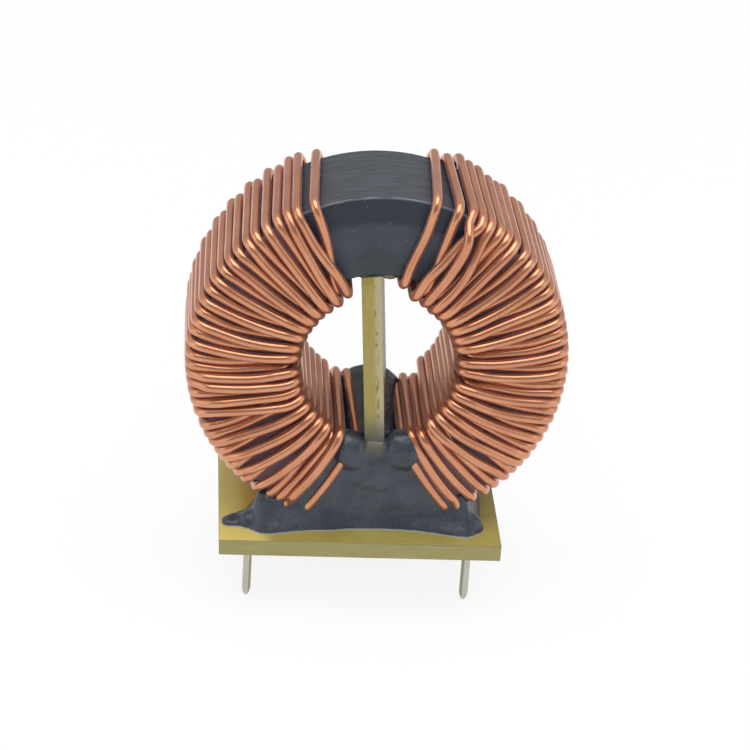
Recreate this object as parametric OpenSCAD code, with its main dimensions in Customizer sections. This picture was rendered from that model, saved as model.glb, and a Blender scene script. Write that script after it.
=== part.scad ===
// Toroidal inductor with two windings, glued upright on a small glass-epoxy base with four pins.
// The origin is the centre of the base board's underside. +Z is up, the ring's axis lies along Y,
// and the front of the part looks along -Y. All sizes are millimetres and all angles degrees.

/* [Base board] */
// Width of the base board, along X
board_w = 25.4; // [25:0.1:32]
// Depth of the base board, along Y
board_d = 18.0; // [17.4:0.1:26]
// Thickness of the base board
board_t = 1.6; // [1.0:0.1:2.4]

/* [Pins] */
// Distance between the left and right pins
pin_pitch_x = 20.0; // [19.4:0.1:21.4]
// Distance between the front and rear pins
pin_pitch_y = 11.5; // [11.0:0.1:12.4]
// Side of a pin's square section
pin_side = 0.64; // [0.5:0.02:0.8]
// Length of pin under the base board
pin_below = 6.2; // [3:0.1:9]
// Length of pin above the base board
pin_above = 0.9; // [0.7:0.05:1.1]
// Length of the four-sided point at a pin's lower end
pin_point = 1.3; // [0.6:0.1:2]
// Width of the blunt end of that point
pin_blunt = 0.16; // [0.1:0.02:0.3]
// Clearance round a pin's corners in its round hole
pin_fit = 0.03; // [0.01:0.01:0.1]
// How far each pin is twisted in its hole
pin_twist = 14; // [0:1:40]

/* [Ring core] */
// Outer diameter of the bare ferrite ring
ring_od = 31.2; // [30.6:0.1:31.6]
// Inner diameter of the bare ferrite ring
ring_id = 18.0; // [17.6:0.1:19]
// Height of the bare ferrite ring, along its axis
ring_h = 9.6; // [8.6:0.1:9.8]
// Thickness of the epoxy coat on the ring
coat_t = 0.4; // [0.3:0.05:0.6]
// Rounding of the coat's edges
coat_round = 0.3; // [0.2:0.05:0.45]
// Chamfer on the ferrite's edges
ring_chamfer = 0.25; // [0.1:0.05:0.4]
// Height of the coated ring's lowest point above the base board
core_gap = 0.4; // [0.3:0.05:1]
// Sideways place of the ring on the base board
core_x = 0.7; // [0:0.1:0.8]
// Front-to-back place of the ring on the base board
core_y = -0.35; // [-0.5:0.05:0.2]
// How far the wound ring is turned to the left about its own axis
core_turn = 3.4; // [0:0.2:4]

/* [Divider] */
// Thickness of the divider board in the bore
divider_t = 1.75; // [1:0.05:1.9]
// Depth of the divider board, along Y
divider_d = 12.0; // [10.4:0.1:13]
// Clearance between the divider's ends and the bore
divider_fit = 0.05; // [0.02:0.01:0.15]
// Swing of the divider about the upright
divider_yaw = 4; // [0:0.5:4.5]
// How far the divider leans to the left, about the ring's axis
divider_lean = 4.4; // [0:0.2:5]

/* [Windings] */
// Diameter of the enamelled wire
wire_d = 0.85; // [0.7:0.01:0.87]
// Turns in each winding, an odd number
turns = 37; // [25:2:37]
// Clearance between a wire and what it lies on
wire_gap = 0.03; // [0.02:0.01:0.06]
// Slack between the outside of the ring and the wires
wire_slack = 0.2; // [0.15:0.01:0.3]
// Angle from the top of the ring to the first turn
wound_from = 18.1; // [16:0.1:20]
// Angle from the top of the ring to the last turn
wound_to = 155.7; // [154:0.1:156.5]
// Angle between the first two turns
first_step = 6.5; // [4:0.1:8]
// Angle between the last two turns of the left winding
last_step_left = 9.0; // [4:0.1:10]
// Angle between the last two turns of the right winding
last_step_right = 3.8; // [3.6:0.1:8]
// How far the top turns fan out towards the bore
fan_top = 1.0; // [0:0.1:2]
// How far the bottom turns fan out towards the bore
fan_bottom = 7.0; // [5:0.1:7.5]
// How far the upper layer leans over in the bore
layer_lean = 0.9; // [0:0.1:1.2]
// How far the turns stray from their even places
unevenness = 0.15; // [0:0.05:0.2]

/* [Solder] */
// Radius of a solder joint on the base board
solder_r = 1.0; // [0.95:0.01:1.1]
// Height of a solder joint
solder_h = 0.8; // [0.6:0.05:0.85]

/* [Adhesive] */
// Height of the adhesive against the windings, above the base board
bed_h = 2.6; // [2:0.1:3]
// Width of the adhesive on the base board, left of the ring's centre
bed_left = 10.4; // [10.2:0.1:11]
// Width of the adhesive on the base board, right of the ring's centre
bed_right = 10.5; // [10.2:0.1:11]
// Depth of the adhesive at its corners, from the ring's centre
bed_reach = 7.85; // [7.6:0.05:8.2]
// How far the adhesive's front and rear edges curve in at the middle
bed_waist = 1.2; // [0.5:0.1:1.4]
// How far the adhesive climbs the faces of the ring
bed_climb = 0.8; // [0.4:0.1:1.2]
// Thickness of the adhesive smeared up the faces of the ring
film_t = 0.25; // [0.15:0.05:0.35]
// Height of the adhesive behind the divider's foot, above the bore
foot_h = 2.1; // [1.2:0.1:2.3]

/* [Hidden] */

left = -1;
right = 1;
front = -1;
rear = 1;
round_fn = 144;             // facets of a drawn circle, which is a true circle in the solids
touch = 0.01;               // gap between pieces that are cast against each other
through = 1;                // how far a cutting tool runs past what it cuts

// Coated ring
coat_ro = ring_od/2 + coat_t;
coat_ri = ring_id/2 - coat_t;
coat_h = ring_h + 2*coat_t;
core_z = board_t + core_gap + coat_ro;

// Pins
pin_corner = pin_side/sqrt(2);
pin_hole_d = 2*(pin_corner + pin_fit);

// Wire levels, measured to the middle of the wire
wire_r = wire_d/2;
wire_step = wire_d + wire_gap;                        // one wire on top of another
rest_step = wire_step + 0.02;                         // the same, between straight stretches of wire
crossing_step = 1.25*wire_step;                       // the same, over a wire that climbs as well
crossing_shift = 0.4;                                 // how far a turn that changed places moves aside
last = turns - 1;                                     // number of the lowest turn
outer_r = coat_ro + wire_r + wire_gap + wire_slack;   // runs on the outside of the ring
inner_r = coat_ri - wire_r - wire_gap;                // lower layer's runs in the bore
face_y = coat_h/2 + wire_r + wire_gap;                // lower layer's runs on the ring's faces
rear_y = face_y + wire_step;                          // upper layer's runs on the rear face
rear_arch = 2.2*wire_step;                            // rise of a turn that crosses on the rear face
outer_bend = 0.5;                                     // size of the bends at the outer edges
lower_bend = 0.45;                                    // size of the lower layer's bends at the bore
upper_bend = 0.75;                                    // size of the upper layer's bends at the bore
wire_sides = 8;
face_steps = 4;                                       // stretches of an upper turn on the front face
crossing_steps = 12;                                  // the same, for the turns that cross at the top
stray_step = 137.5;                                   // angle that makes the straying look random

// Leads
lead_beside = pin_side*0.62 + wire_r + touch;         // from a pin's middle to its lead's middle
lead_y = pin_pitch_y/2 + lead_beside;                 // front-to-back place of the leads
lead_z = board_t + wire_r + 0.08;                     // height of a lead that lies on the board
lead_end_z = board_t + 0.15;                          // lower end of the front leads
lead_knee_z = board_t + 1.3;                          // height at which the front leads turn down
lead_angle = 161.3;                                   // where the rear leads cross the ring's edge

// ---- Small helpers ----

// A point at radius r and angle a about the ring's axis, y from the ring's middle plane
function on_ring(r, y, a) = [core_x + r*sin(a), core_y + y, core_z + r*cos(a)];

// The same angle on the left or the right, on the turned ring
function placed(side, a) = side*a - core_turn;

function unit(v) = v/norm(v);

// Places children in the ring's own frame
module at_ring() translate([core_x, core_y, core_z]) rotate([0, -core_turn, 0]) children();

// Solid of a section in the XZ plane, from y0 to y1
module along_y(y0, y1) translate([0, y1, 0]) rotate([90, 0, 0]) linear_extrude(y1 - y0) children();

// Disc about the ring's axis, in the ring's own frame
module ring_disc(r, y0, y1) translate([0, y1, 0]) rotate([90, 0, 0]) cylinder(h = y1 - y0, r = r, $fn = round_fn);

// Quarter of a circle, as points from angle a0 on
function corner(cx, cy, r, a0) = [for (k = [0:4]) [cx + r*cos(a0 + 22.5*k), cy + r*sin(a0 + 22.5*k)]];

// Rounded section of a ring between radii r0 and r1
function ring_section(r0, r1, h, round) = concat(
    corner(r1 - round, h/2 - round, round, 0), corner(r0 + round, h/2 - round, round, 90),
    corner(r0 + round, -h/2 + round, round, 180), corner(r1 - round, -h/2 + round, round, 270));

// Round rod through a list of points, each stretch long enough to fill its knees
module rod(points, r) for (k = [0:len(points) - 2]) {
    v = points[k + 1] - points[k];
    translate(points[k]) rotate([0, acos(v.z/norm(v)), atan2(v.y, v.x)]) translate([0, 0, -r])
        cylinder(h = norm(v) + 2*r, r = r, $fn = round_fn);
}

// ---- Base board and pins ----

module at_pin(side, row) translate([side*pin_pitch_x/2, row*pin_pitch_y/2, 0]) children();

module base_board() color("#a89c55") difference() {
    translate([-board_w/2, -board_d/2, 0]) cube([board_w, board_d, board_t]);
    for (side = [left, right], row = [front, rear])
        at_pin(side, row) translate([0, 0, -through]) cylinder(h = board_t + 2*through, d = pin_hole_d, $fn = round_fn);
}

// Square wire pin: a straight shank with a four-sided point
module pin(side, row) color("#c8c4b2") at_pin(side, row) rotate(side*pin_twist) {
    shank = pin_below - pin_point;
    h = pin_side/2;
    b = pin_blunt/2;
    translate([-h, -h, -shank]) cube([pin_side, pin_side, shank + board_t + pin_above]);
    translate([0, 0, -shank]) polyhedron(
        points = [[-h, -h, 0], [h, -h, 0], [h, h, 0], [-h, h, 0],
            [-b, -b, -pin_point], [b, -b, -pin_point], [b, b, -pin_point], [-b, b, -pin_point]],
        faces = [[3, 2, 1, 0], [4, 5, 6, 7], [0, 1, 5, 4], [1, 2, 6, 5], [2, 3, 7, 6], [3, 0, 4, 7]]);
}

// ---- Ring core ----

module ferrite_core() color("#3a3b3f") at_ring() rotate([90, 0, 0]) rotate_extrude($fn = round_fn)
    polygon(ring_section(ring_id/2, ring_od/2, ring_h, ring_chamfer));

module core_coating() color("#4a5058") at_ring() rotate([90, 0, 0]) difference() {
    rotate_extrude($fn = round_fn) polygon(ring_section(coat_ri, coat_ro, coat_h, coat_round));
    rotate_extrude($fn = round_fn) polygon(ring_section(ring_id/2, ring_od/2, ring_h, ring_chamfer));
}

// ---- Divider ----

// The divider reaches from the bottom to the top of the bore
divider_h = 2*(sqrt(pow(coat_ri, 2) - pow(divider_t/2 + divider_d/2*sin(divider_yaw), 2)) - divider_fit);

// Places children in the divider's own frame, in the middle of the bore
module at_divider() translate([core_x, core_y, core_z]) rotate([0, -divider_lean, 0]) children();

module divider_block(grow) at_divider() translate([0, divider_d/2 - coat_h/2, 0]) rotate(-divider_yaw)
    cube([divider_t + 2*grow, divider_d + 2*grow, divider_h + 2*grow], center = true);

module divider_board() color("#b0a560") divider_block(0);

// ---- Windings ----
// Each winding is one wire. It starts at the rear pin, winds every second turn up the ring as the
// lower layer, turns back at the top, and winds the turns between them down the ring as the upper
// layer, which rides in the valleys of the lower one. Turns are numbered from the top, 0 to last:
// the even ones are the lower layer.

function is_upper(j) = j % 2 == 1;

function pitch(side) = (wound_to - wound_from - first_step - (side == left ? last_step_left : last_step_right))
    /(turns - 3);

// Place of turn j along the outside, counted from the top. Near the top of the right winding three
// turns have changed places.
function place(side, j) = side == right && j > 0 && j < 4 ? [3, 1, 2][j - 1] : j;

// How far turn j strays from its even place
function stray(j, shift) = j < 4 || j == last ? 0 : unevenness*sin(stray_step*j + shift);

// Angle of the place numbered k
function even_a(side, k) = k == 0 ? wound_from : k == last ? wound_to
    : wound_from + first_step + (k - 1)*pitch(side);

// Angle of turn j on the outside of the ring
function outer_a(side, j) = even_a(side, place(side, j)) + stray(j, 0)
    + (place(side, j) < j && is_upper(j) ? crossing_shift : 0);

// Angle of turn j in the bore, where some of the top turns cross
function inner_a(side, j) = let (top = side == left ? [20.6, 16.6] : [15.9, 22.4, 27.9, 32.0])
    j < len(top) ? top[j] : even_a(side, j) + fan_top + (fan_bottom - fan_top)*pow(j/last, 2)
        + (is_upper(j) ? layer_lean : 0) + stray(j, 90);

// On the faces each turn runs straight from its outer bend to its bend at the bore. Seen along the
// ring's axis, with x towards the winding's side:
function face_end(side, j) = let (a = outer_a(side, j)) (outer_r - outer_bend)*[sin(a), cos(a)];
function bore_end(side, j, r) = let (c = inner_a(side, j)) r*[sin(c), cos(c)];

// The point of turn j on the front face, with t from 0 at the outer bend to 1 at the bore
function face_point(side, j, t) = (1 - t)*face_end(side, j) + t*bore_end(side, j, inner_r + lower_bend);

// The place on turn k, on the front face, that lies nearest to the point p
function nearest(side, k, p) = let (
    from = face_end(side, k),
    v = unit(bore_end(side, k, inner_r + lower_bend) - from)
) from + ((p - from)*v)*v;

// How high turn j lies over the lower layer's level at the point p of the front face. A turn of the
// upper layer rests on the lower turns beside it, and at the top also on the upper turn before it.
function height(side, j, p) = is_upper(j) ? max([for (k = j < 4 ? [j - 2, j - 1, j + 1] : [j - 1, j + 1])
    k < 0 ? 0 : rest_on(side, k, nearest(side, k, p), p)]) : 0;

function rest_on(side, k, q, p) = let (d = norm(p - q), step = is_upper(k) ? crossing_step : rest_step)
    d < step ? height(side, k, q) + sqrt(step*step - d*d) : 0;

// Radius of an upper turn's run in the bore, which rests on the runs beside it
function bore_level(side, j) = min([for (k = [j - 1, j + 1]) let (
    d = abs(inner_a(side, j) - inner_a(side, k)),
    across = inner_r*sin(d)
) across < rest_step ? inner_r*cos(d) - sqrt(pow(rest_step, 2) - across*across) : inner_r]);

// Points of turn j as [radius, y, angle]: up the bore, out over the front face, back on the outside
function lower_turn(side, j) = let (
    a = outer_a(side, j),
    c = inner_a(side, j),
    b = lower_bend,
    o = outer_bend,
    out_y = j == 0 ? rear_y : face_y
) [
    [inner_r + b, face_y, c], [inner_r, face_y - b, c], [inner_r, b - face_y, c], [inner_r + b, -face_y, c],
    [outer_r - o, -face_y, a], [outer_r, o - face_y, a], [outer_r, out_y - o, a], [outer_r - o, out_y, a]
];

// An upper turn that has changed places crosses the one before it on the rear face too
function upper_turn(side, j) = let (
    a = outer_a(side, j),
    c = inner_a(side, j),
    b = upper_bend,
    o = outer_bend,
    bore_r = bore_level(side, j),
    end_r = bore_r + b,
    end_y = face_y + height(side, j, bore_end(side, j, end_r)),
    out_y = rear_y + (place(side, j) < j ? rear_arch : 0),
    steps = j < 4 ? crossing_steps : face_steps
) concat(
    [[end_r, rear_y, c], [bore_r, rear_y - b, c], [bore_r, b - end_y, c], [end_r, -end_y, c]],
    [for (i = [steps - 1:-1:1]) let (p = face_point(side, j, i/steps))
        [norm(p), -face_y - height(side, j, p), atan2(p.x, p.y)]],
    [[outer_r - o, -face_y, a], [outer_r, o - face_y, a], [outer_r, out_y - o, a], [outer_r - o, out_y, a]]);

// A wire's path is a list of [point, direction across the turn]
function laid(side, p) = let (a = placed(side, p[2]))
    [on_ring(p[0], p[1], a), side*[cos(a), 0, -sin(a)]];

function laid_turn(side, j) = [for (p = is_upper(j) ? upper_turn(side, j) : lower_turn(side, j)) laid(side, p)];

// The last turn leaves the front face for the front pin, without the four points past that face
function leaving_turn(side) = let (p = laid_turn(side, last - 1)) [for (k = [0:len(p) - 5]) p[k]];

// Rear lead: from beside the rear pin, along the board, up the rear face to the bore
function rear_lead(side) = let (
    a = placed(side, lead_angle),
    across = side*[cos(a), 0, -sin(a)],
    foot_x = core_x + (core_z - lead_z)*tan(a > 0 ? 180 - a : -180 - a),
    end_x = side*(pin_pitch_x/2 + wire_r)
) [
    [[end_x, lead_y, lead_z], across],
    [[foot_x + side*0.6, lead_y, lead_z], across],
    [[foot_x - side*0.1, lead_y - 0.1, lead_z + 0.5], across]
];

// Front lead: off the face, clear of the turns above, and down beside the front pin
function front_lead(side) = let (
    a = placed(side, outer_a(side, last - 1)),
    across = side*[cos(a), 0, -sin(a)],
    knee = [side*pin_pitch_x/2, -lead_y, lead_knee_z]
) [
    [on_ring(outer_r - 1.3, -face_y, a), across],
    [[on_ring(outer_r, 0, a).x, -lead_y - 0.1, on_ring(outer_r, 0, a).z], across],
    [knee, across],
    [[knee.x, knee.y, lead_end_z], across]
];

function wire_path(side) = concat(
    rear_lead(side),
    [for (j = [last:-2:0]) each laid_turn(side, j)],
    [for (j = [1:2:last - 3]) each laid_turn(side, j)],
    leaving_turn(side),
    front_lead(side));

// Ring of points round the wire at place k of its path, square to the wire there
function wire_ring(path, k) = let (
    n = len(path) - 1,
    ahead = k < n ? unit(path[k + 1][0] - path[k][0]) : unit(path[n][0] - path[n - 1][0]),
    behind = k > 0 ? unit(path[k][0] - path[k - 1][0]) : ahead,
    along = unit(ahead + behind),
    out = unit(cross(path[k][1], along)),
    over = cross(along, out)
) [for (i = [0:wire_sides - 1]) let (f = 360*i/wire_sides) path[k][0] + wire_r*(cos(f)*out + sin(f)*over)];

module wire(path) {
    s = wire_sides;
    n = len(path);
    points = [for (k = [0:n - 1]) each wire_ring(path, k)];
    wall = [for (k = [0:n - 2], i = [0:s - 1]) let (p = k*s + i, q = k*s + (i + 1) % s)
        each [[p, q + s, q], [p, p + s, q + s]]];
    near_end = [for (i = [1:s - 2]) [0, i, i + 1]];
    far_end = [for (i = [1:s - 2]) [(n - 1)*s, (n - 1)*s + i + 1, (n - 1)*s + i]];
    polyhedron(points = points, faces = concat(wall, near_end, far_end));
}

module winding(side) color("#c07a52") wire(wire_path(side));

// ---- Solder joints ----

// Middle of the joint, between a pin and its lead
module at_solder(side, row) at_pin(side, row) translate([0, row*lead_beside/2, board_t]) children();

// The stretch of a lead that a joint or the adhesive has to clear
module lead_rod(side, row, grow) {
    path = row == front
        ? [for (p = front_lead(side)) p[0]]
        : concat([for (p = rear_lead(side)) p[0]], [laid_turn(side, last)[0][0]]);
    rod(path, wire_r + grow);
}

module pin_block(side, row, grow) at_pin(side, row) rotate(side*pin_twist)
    translate([-pin_side/2 - grow, -pin_side/2 - grow, board_t - through])
        cube([pin_side + 2*grow, pin_side + 2*grow, pin_above + through + grow]);

module solder_mound(side, row, grow) at_solder(side, row)
    cylinder(h = solder_h + grow, r1 = solder_r + grow, r2 = solder_r*0.85 + grow, $fn = round_fn);

module solder(side, row) color("#b9bab5") difference() {
    solder_mound(side, row, 0);
    pin_block(side, row, touch);
    lead_rod(side, row, touch);
}

// ---- Adhesive ----

bed_top = board_t + bed_h;
rim_h = 0.6;                                     // thickness of the bed's outer edge
rim_step = 0.3;                                  // how far the bed steps in above that edge
bed_corner = 1.5;                                // rounding of the bed's corners
cove_w = bed_h - rim_h;                          // width and height of the hollow up to the ring's face
cove_r = 3.7;                                    // its radius
winding_clear = 0.08;                            // gap between the adhesive and the turns
winding_edge = 1.9;                              // angle that the last turn takes up beyond its middle
lump_r = 2.3;                                    // lumps over the front pins
lead_coat = 0.3;                                 // adhesive round the front leads
strand_t = 0.35;                                 // thickness of the strand that ran off to the left
foot_split = 0.5;                                // where the low mound in the bore becomes the high one
foot_r = 3.2;                                    // roundness of the mounds at the divider's foot
dab_r = 2.2;                                     // roundness of the dab at its top
dab_h = 0.9;                                     // how far that dab reaches down into the bore

// Outline of the adhesive on the board: a round-cornered rectangle with hollow front and rear edges
module bed_outline(inset) difference() {
    x0 = core_x - bed_left + inset + bed_corner;
    x1 = core_x + bed_right - inset - bed_corner;
    y1 = bed_reach - inset - bed_corner;
    translate([0, core_y]) polygon(concat(corner(x1, y1, bed_corner, 0), corner(x0, y1, bed_corner, 90),
        corner(x0, -y1, bed_corner, 180), corner(x1, -y1, bed_corner, 270)));
    half = (bed_left + bed_right)/2;
    hollow_r = (half*half + bed_waist*bed_waist)/(2*bed_waist);
    for (row = [front, rear])
        translate([core_x + (bed_right - bed_left)/2, core_y + row*(bed_reach - inset - bed_waist + hollow_r)])
            circle(r = hollow_r, $fn = 4*round_fn);
}

// Space that a winding takes up near the board: all turns down to the last, with clearance
module winding_space(side) {
    reach = outer_r + wire_r + winding_clear;
    edge_out = placed(side, wound_to + winding_edge);
    edge_in = placed(side, wound_to + fan_bottom + 2*winding_edge);
    y0 = core_y - face_y - wire_r - winding_clear;
    y1 = core_y + rear_y + wire_r + winding_clear;
    far = 3*coat_ro;
    intersection() {
        translate([core_x, 0, core_z]) ring_disc(reach, y0, y1);
        along_y(y0, y1) polygon([
            [core_x, core_z],
            [core_x + inner_r*sin(edge_in), core_z + inner_r*cos(edge_in)],
            [core_x + far*sin(edge_out), core_z + far*cos(edge_out)],
            [core_x + side*far, core_z - far], [core_x + side*far, core_z]]);
    }
}

// Bed between the board, the ring and the windings, which climbs a little up the ring's faces
module bed_body() difference() {
    union() {
        translate([0, 0, board_t]) linear_extrude(rim_h) bed_outline(0);
        translate([0, 0, board_t]) linear_extrude(bed_h) bed_outline(rim_step);
    }
    off = cove_w/2 + sqrt(cove_r*cove_r/2 - cove_w*cove_w/4);
    for (row = [front, rear])
        translate([0, core_y + row*(coat_h/2 + film_t + off), board_t + rim_h + off])
            rotate([0, 90, 0]) cylinder(h = 2*board_w, r = cove_r, center = true, $fn = round_fn);
    translate([core_x, core_y, core_z]) ring_disc(coat_ro - bed_climb, -board_d, board_d);
}

// Lumps over the front pins, with the leads that run into them
module front_lumps() for (side = [left, right]) {
    intersection() {
        at_solder(side, front) sphere(r = lump_r, $fn = round_fn);
        translate([-board_w, -board_d/2, board_t]) cube([2*board_w, board_d, 2*lump_r]);
    }
    lead = [for (p = front_lead(side)) p[0]];
    rod([lead[0], lead[1], lead[2]], wire_r + lead_coat);
}

// Thin strand from the left lump to the edge of the board
module strand() at_pin(left, front) translate([0, 0, board_t]) linear_extrude(strand_t) let (
    reach = (board_w - pin_pitch_x)/2 - touch
) polygon([[-reach, 0.2], [-reach, -0.8], [-0.9, -1.4], [0.6, -1.6], [0.6, 1], [-0.9, 0.6]]);

// Film of adhesive on a face of the ring, between the two windings
module face_film(row) {
    y0 = row == front ? -coat_h/2 - film_t : coat_h/2 + touch;
    y1 = row == front ? -coat_h/2 - touch : coat_h/2 + film_t;
    difference() {
        translate([core_x, core_y, core_z]) ring_disc(coat_ro - bed_climb/2, y0, y1);
        translate([core_x, core_y, core_z]) ring_disc(coat_ri, y0 - through, y1 + through);
        translate([core_x - coat_ro, core_y - coat_h, core_z - coat_ri + foot_h])
            cube([2*coat_ro, 2*coat_h, 2*coat_ro]);
    }
}

// Mounds on the floor of the bore, low in front and high behind at the divider's foot
module foot_mound(y0, y1, h) intersection() {
    translate([core_x, core_y, core_z]) ring_disc(coat_ri + bed_climb/2, y0, y1);
    at_ring() translate([0, 0, h - foot_r - coat_ri]) ring_disc(foot_r, y0, y1);
}

module bed_mass() {
    bed_body();
    front_lumps();
    strand();
    for (row = [front, rear]) face_film(row);
    foot_mound(-coat_h/2 - film_t, foot_split, foot_h*0.4);
    foot_mound(foot_split, coat_h/2 + film_t, foot_h);
}

// The mass with room for the pins, their solder and the leads
module bed_round_leads() difference() {
    bed_mass();
    for (side = [left, right], row = [front, rear]) {
        solder_mound(side, row, touch);
        pin_block(side, row, touch);
        lead_rod(side, row, 2*touch);
    }
}

// The same with room for the ring and the divider
module bed_round_ring() difference() {
    bed_round_leads();
    at_ring() rotate([90, 0, 0]) difference() {
        cylinder(h = coat_h + 2*touch, r = coat_ro + touch, center = true, $fn = round_fn);
        cylinder(h = coat_h + 4*touch, r = coat_ri - touch, center = true, $fn = round_fn);
    }
    divider_block(touch);
}

module adhesive_bed() color("#2c3038") difference() {
    bed_round_ring();
    for (side = [left, right]) winding_space(side);
}

// Dab that holds the divider's upper end in the bore
module adhesive_dab() color("#33373e") difference() {
    intersection() {
        at_ring() ring_disc(coat_ri - touch, -coat_h/2 + 0.4, coat_h/2 - 0.4);
        at_divider() translate([0, 0, coat_ri + dab_r - dab_h]) ring_disc(dab_r, -coat_h, coat_h);
    }
    divider_block(touch);
}

base_board();
pin(left, front);  // pin_front_left
pin(right, front);  // pin_front_right
pin(left, rear);  // pin_rear_left
pin(right, rear);  // pin_rear_right
ferrite_core();
core_coating();
divider_board();
winding(left);  // winding_left
winding(right);  // winding_right
solder(left, front);  // solder_front_left
solder(right, front);  // solder_front_right
solder(left, rear);  // solder_rear_left
solder(right, rear);  // solder_rear_right
adhesive_bed();
adhesive_dab();
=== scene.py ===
# %% [markdown]
# # A toroidal inductor
#
# The real part is a ferrite ring in a dark epoxy coat, stood on its edge and glued to a small
# glass-epoxy board. Two windings of enamelled copper wire cover its sides, a strip of the same
# board keeps them apart in the bore, and four square pins carry it. The solids come packed as a
# frame. Here they get their finishes, and what was bent, cut or poured by hand gets a mesh of
# its own.

import math

import bmesh
import bpy
import numpy as np
from mathutils import Euler, Matrix, Vector, noise


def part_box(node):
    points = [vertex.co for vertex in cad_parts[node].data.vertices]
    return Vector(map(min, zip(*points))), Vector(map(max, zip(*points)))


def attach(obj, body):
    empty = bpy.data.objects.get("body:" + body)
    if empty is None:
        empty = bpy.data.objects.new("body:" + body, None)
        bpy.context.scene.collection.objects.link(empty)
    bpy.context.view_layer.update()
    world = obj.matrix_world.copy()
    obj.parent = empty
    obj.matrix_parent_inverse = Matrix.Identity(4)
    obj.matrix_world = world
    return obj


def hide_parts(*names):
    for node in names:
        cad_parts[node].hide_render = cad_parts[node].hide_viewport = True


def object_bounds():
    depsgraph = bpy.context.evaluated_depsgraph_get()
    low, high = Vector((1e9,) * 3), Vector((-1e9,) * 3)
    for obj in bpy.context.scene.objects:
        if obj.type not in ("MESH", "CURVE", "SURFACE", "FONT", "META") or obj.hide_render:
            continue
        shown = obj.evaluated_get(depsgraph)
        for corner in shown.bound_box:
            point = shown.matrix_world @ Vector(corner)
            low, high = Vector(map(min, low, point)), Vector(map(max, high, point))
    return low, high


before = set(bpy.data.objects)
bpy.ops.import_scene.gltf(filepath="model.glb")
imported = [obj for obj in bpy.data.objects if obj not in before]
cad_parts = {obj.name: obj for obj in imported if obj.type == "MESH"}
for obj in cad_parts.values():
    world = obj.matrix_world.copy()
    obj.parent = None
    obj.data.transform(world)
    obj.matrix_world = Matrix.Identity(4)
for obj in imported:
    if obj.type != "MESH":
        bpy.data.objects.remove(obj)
cad_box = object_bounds()
MM = 0.001
print("nodes:", len(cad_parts))

# %% [markdown]
# ## Sizes
#
# What the box of a solid tells is read from the frame, so that nothing here can drift away from
# it. Lengths below are millimetres, as a drawing of the part would give them, and become metres
# when a mesh is made. The radius of the bore is typed, because no box shows it.

# %% Read the sizes of the board and the ring
def box_mm(node):
    low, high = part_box(node)
    return low / MM, high / MM


_, board_high = box_mm("base_board")
ring_low, ring_high = box_mm("core_coating")
BOARD_TOP = board_high.z
RING = (ring_low + ring_high) / 2
RING_R = (ring_high.x - ring_low.x) / 2
RING_H = ring_high.y - ring_low.y
BORE_R = 8.6
FRONT_FACE = RING.y - RING_H / 2
REAR_FACE = RING.y + RING_H / 2
print("ring of", round(2 * RING_R, 2), "mm at", [round(v, 2) for v in RING])

# %% [markdown]
# ## Camera
#
# The part is seen from a little above and a little to the left, through a long lens that hardly
# narrows it towards the back. The camera's axes are worked out from its three angles, since a
# roll about the line of sight is easiest to give that way.

# %% Set the camera
CAMERA_PLACE = Vector((-18.322, -229.676, 136.531))
CAMERA_YAW, CAMERA_PITCH, CAMERA_ROLL = 0.083876, 0.489013, 0.067911
SENSOR = 36.0
LENS = 138.41
CLIP_START, CLIP_END = 0.01, 20

forward = Vector((math.sin(CAMERA_YAW) * math.cos(CAMERA_PITCH),
                  math.cos(CAMERA_YAW) * math.cos(CAMERA_PITCH), -math.sin(CAMERA_PITCH)))
level = Vector((math.cos(CAMERA_YAW), -math.sin(CAMERA_YAW), 0))
rise = level.cross(forward)
camera_x = math.cos(CAMERA_ROLL) * level + math.sin(CAMERA_ROLL) * rise
camera_y = math.cos(CAMERA_ROLL) * rise - math.sin(CAMERA_ROLL) * level

bpy.ops.object.camera_add()
camera = bpy.context.object
camera.name = "camera"
camera.matrix_world = Matrix((
    (camera_x.x, camera_y.x, -forward.x, CAMERA_PLACE.x * MM),
    (camera_x.y, camera_y.y, -forward.y, CAMERA_PLACE.y * MM),
    (camera_x.z, camera_y.z, -forward.z, CAMERA_PLACE.z * MM),
    (0, 0, 0, 1)))
camera.data.sensor_width = SENSOR
camera.data.lens = LENS
camera.data.clip_start = CLIP_START
camera.data.clip_end = CLIP_END
bpy.context.scene.camera = camera
bpy.context.scene.view_settings.view_transform = "Standard"
print("lens:", LENS, "mm")

# %% [markdown]
# ## Shader maths
#
# A finish is a material whose nodes are written as Python. `Link` stands for one socket, so that
# `grain * 0.5 + 0.2` adds the Math nodes for it, and `Nodes.node` makes every other kind of
# node: its settings come first, then the values or links of its sockets.

# %% Shader helpers
class Link:
    """A socket that Python's operators work on."""

    def __init__(self, finish, socket):
        self.finish, self.socket = finish, socket

    def math(self, operation, *others, turned=False):
        values = [self, *others]
        if turned:
            values.reverse()
        return self.finish.node("ShaderNodeMath", {"operation": operation}, *values)["Value"]

    def __add__(self, other):
        return self.math("ADD", other)

    def __sub__(self, other):
        return self.math("SUBTRACT", other)

    def __rsub__(self, other):
        return self.math("SUBTRACT", other, turned=True)

    def __mul__(self, other):
        return self.math("MULTIPLY", other)

    __radd__, __rmul__ = __add__, __mul__

    def __abs__(self):
        return self.math("ABSOLUTE")

    def clamp(self):
        return self.finish.node("ShaderNodeClamp", {}, self)["Result"]


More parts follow.
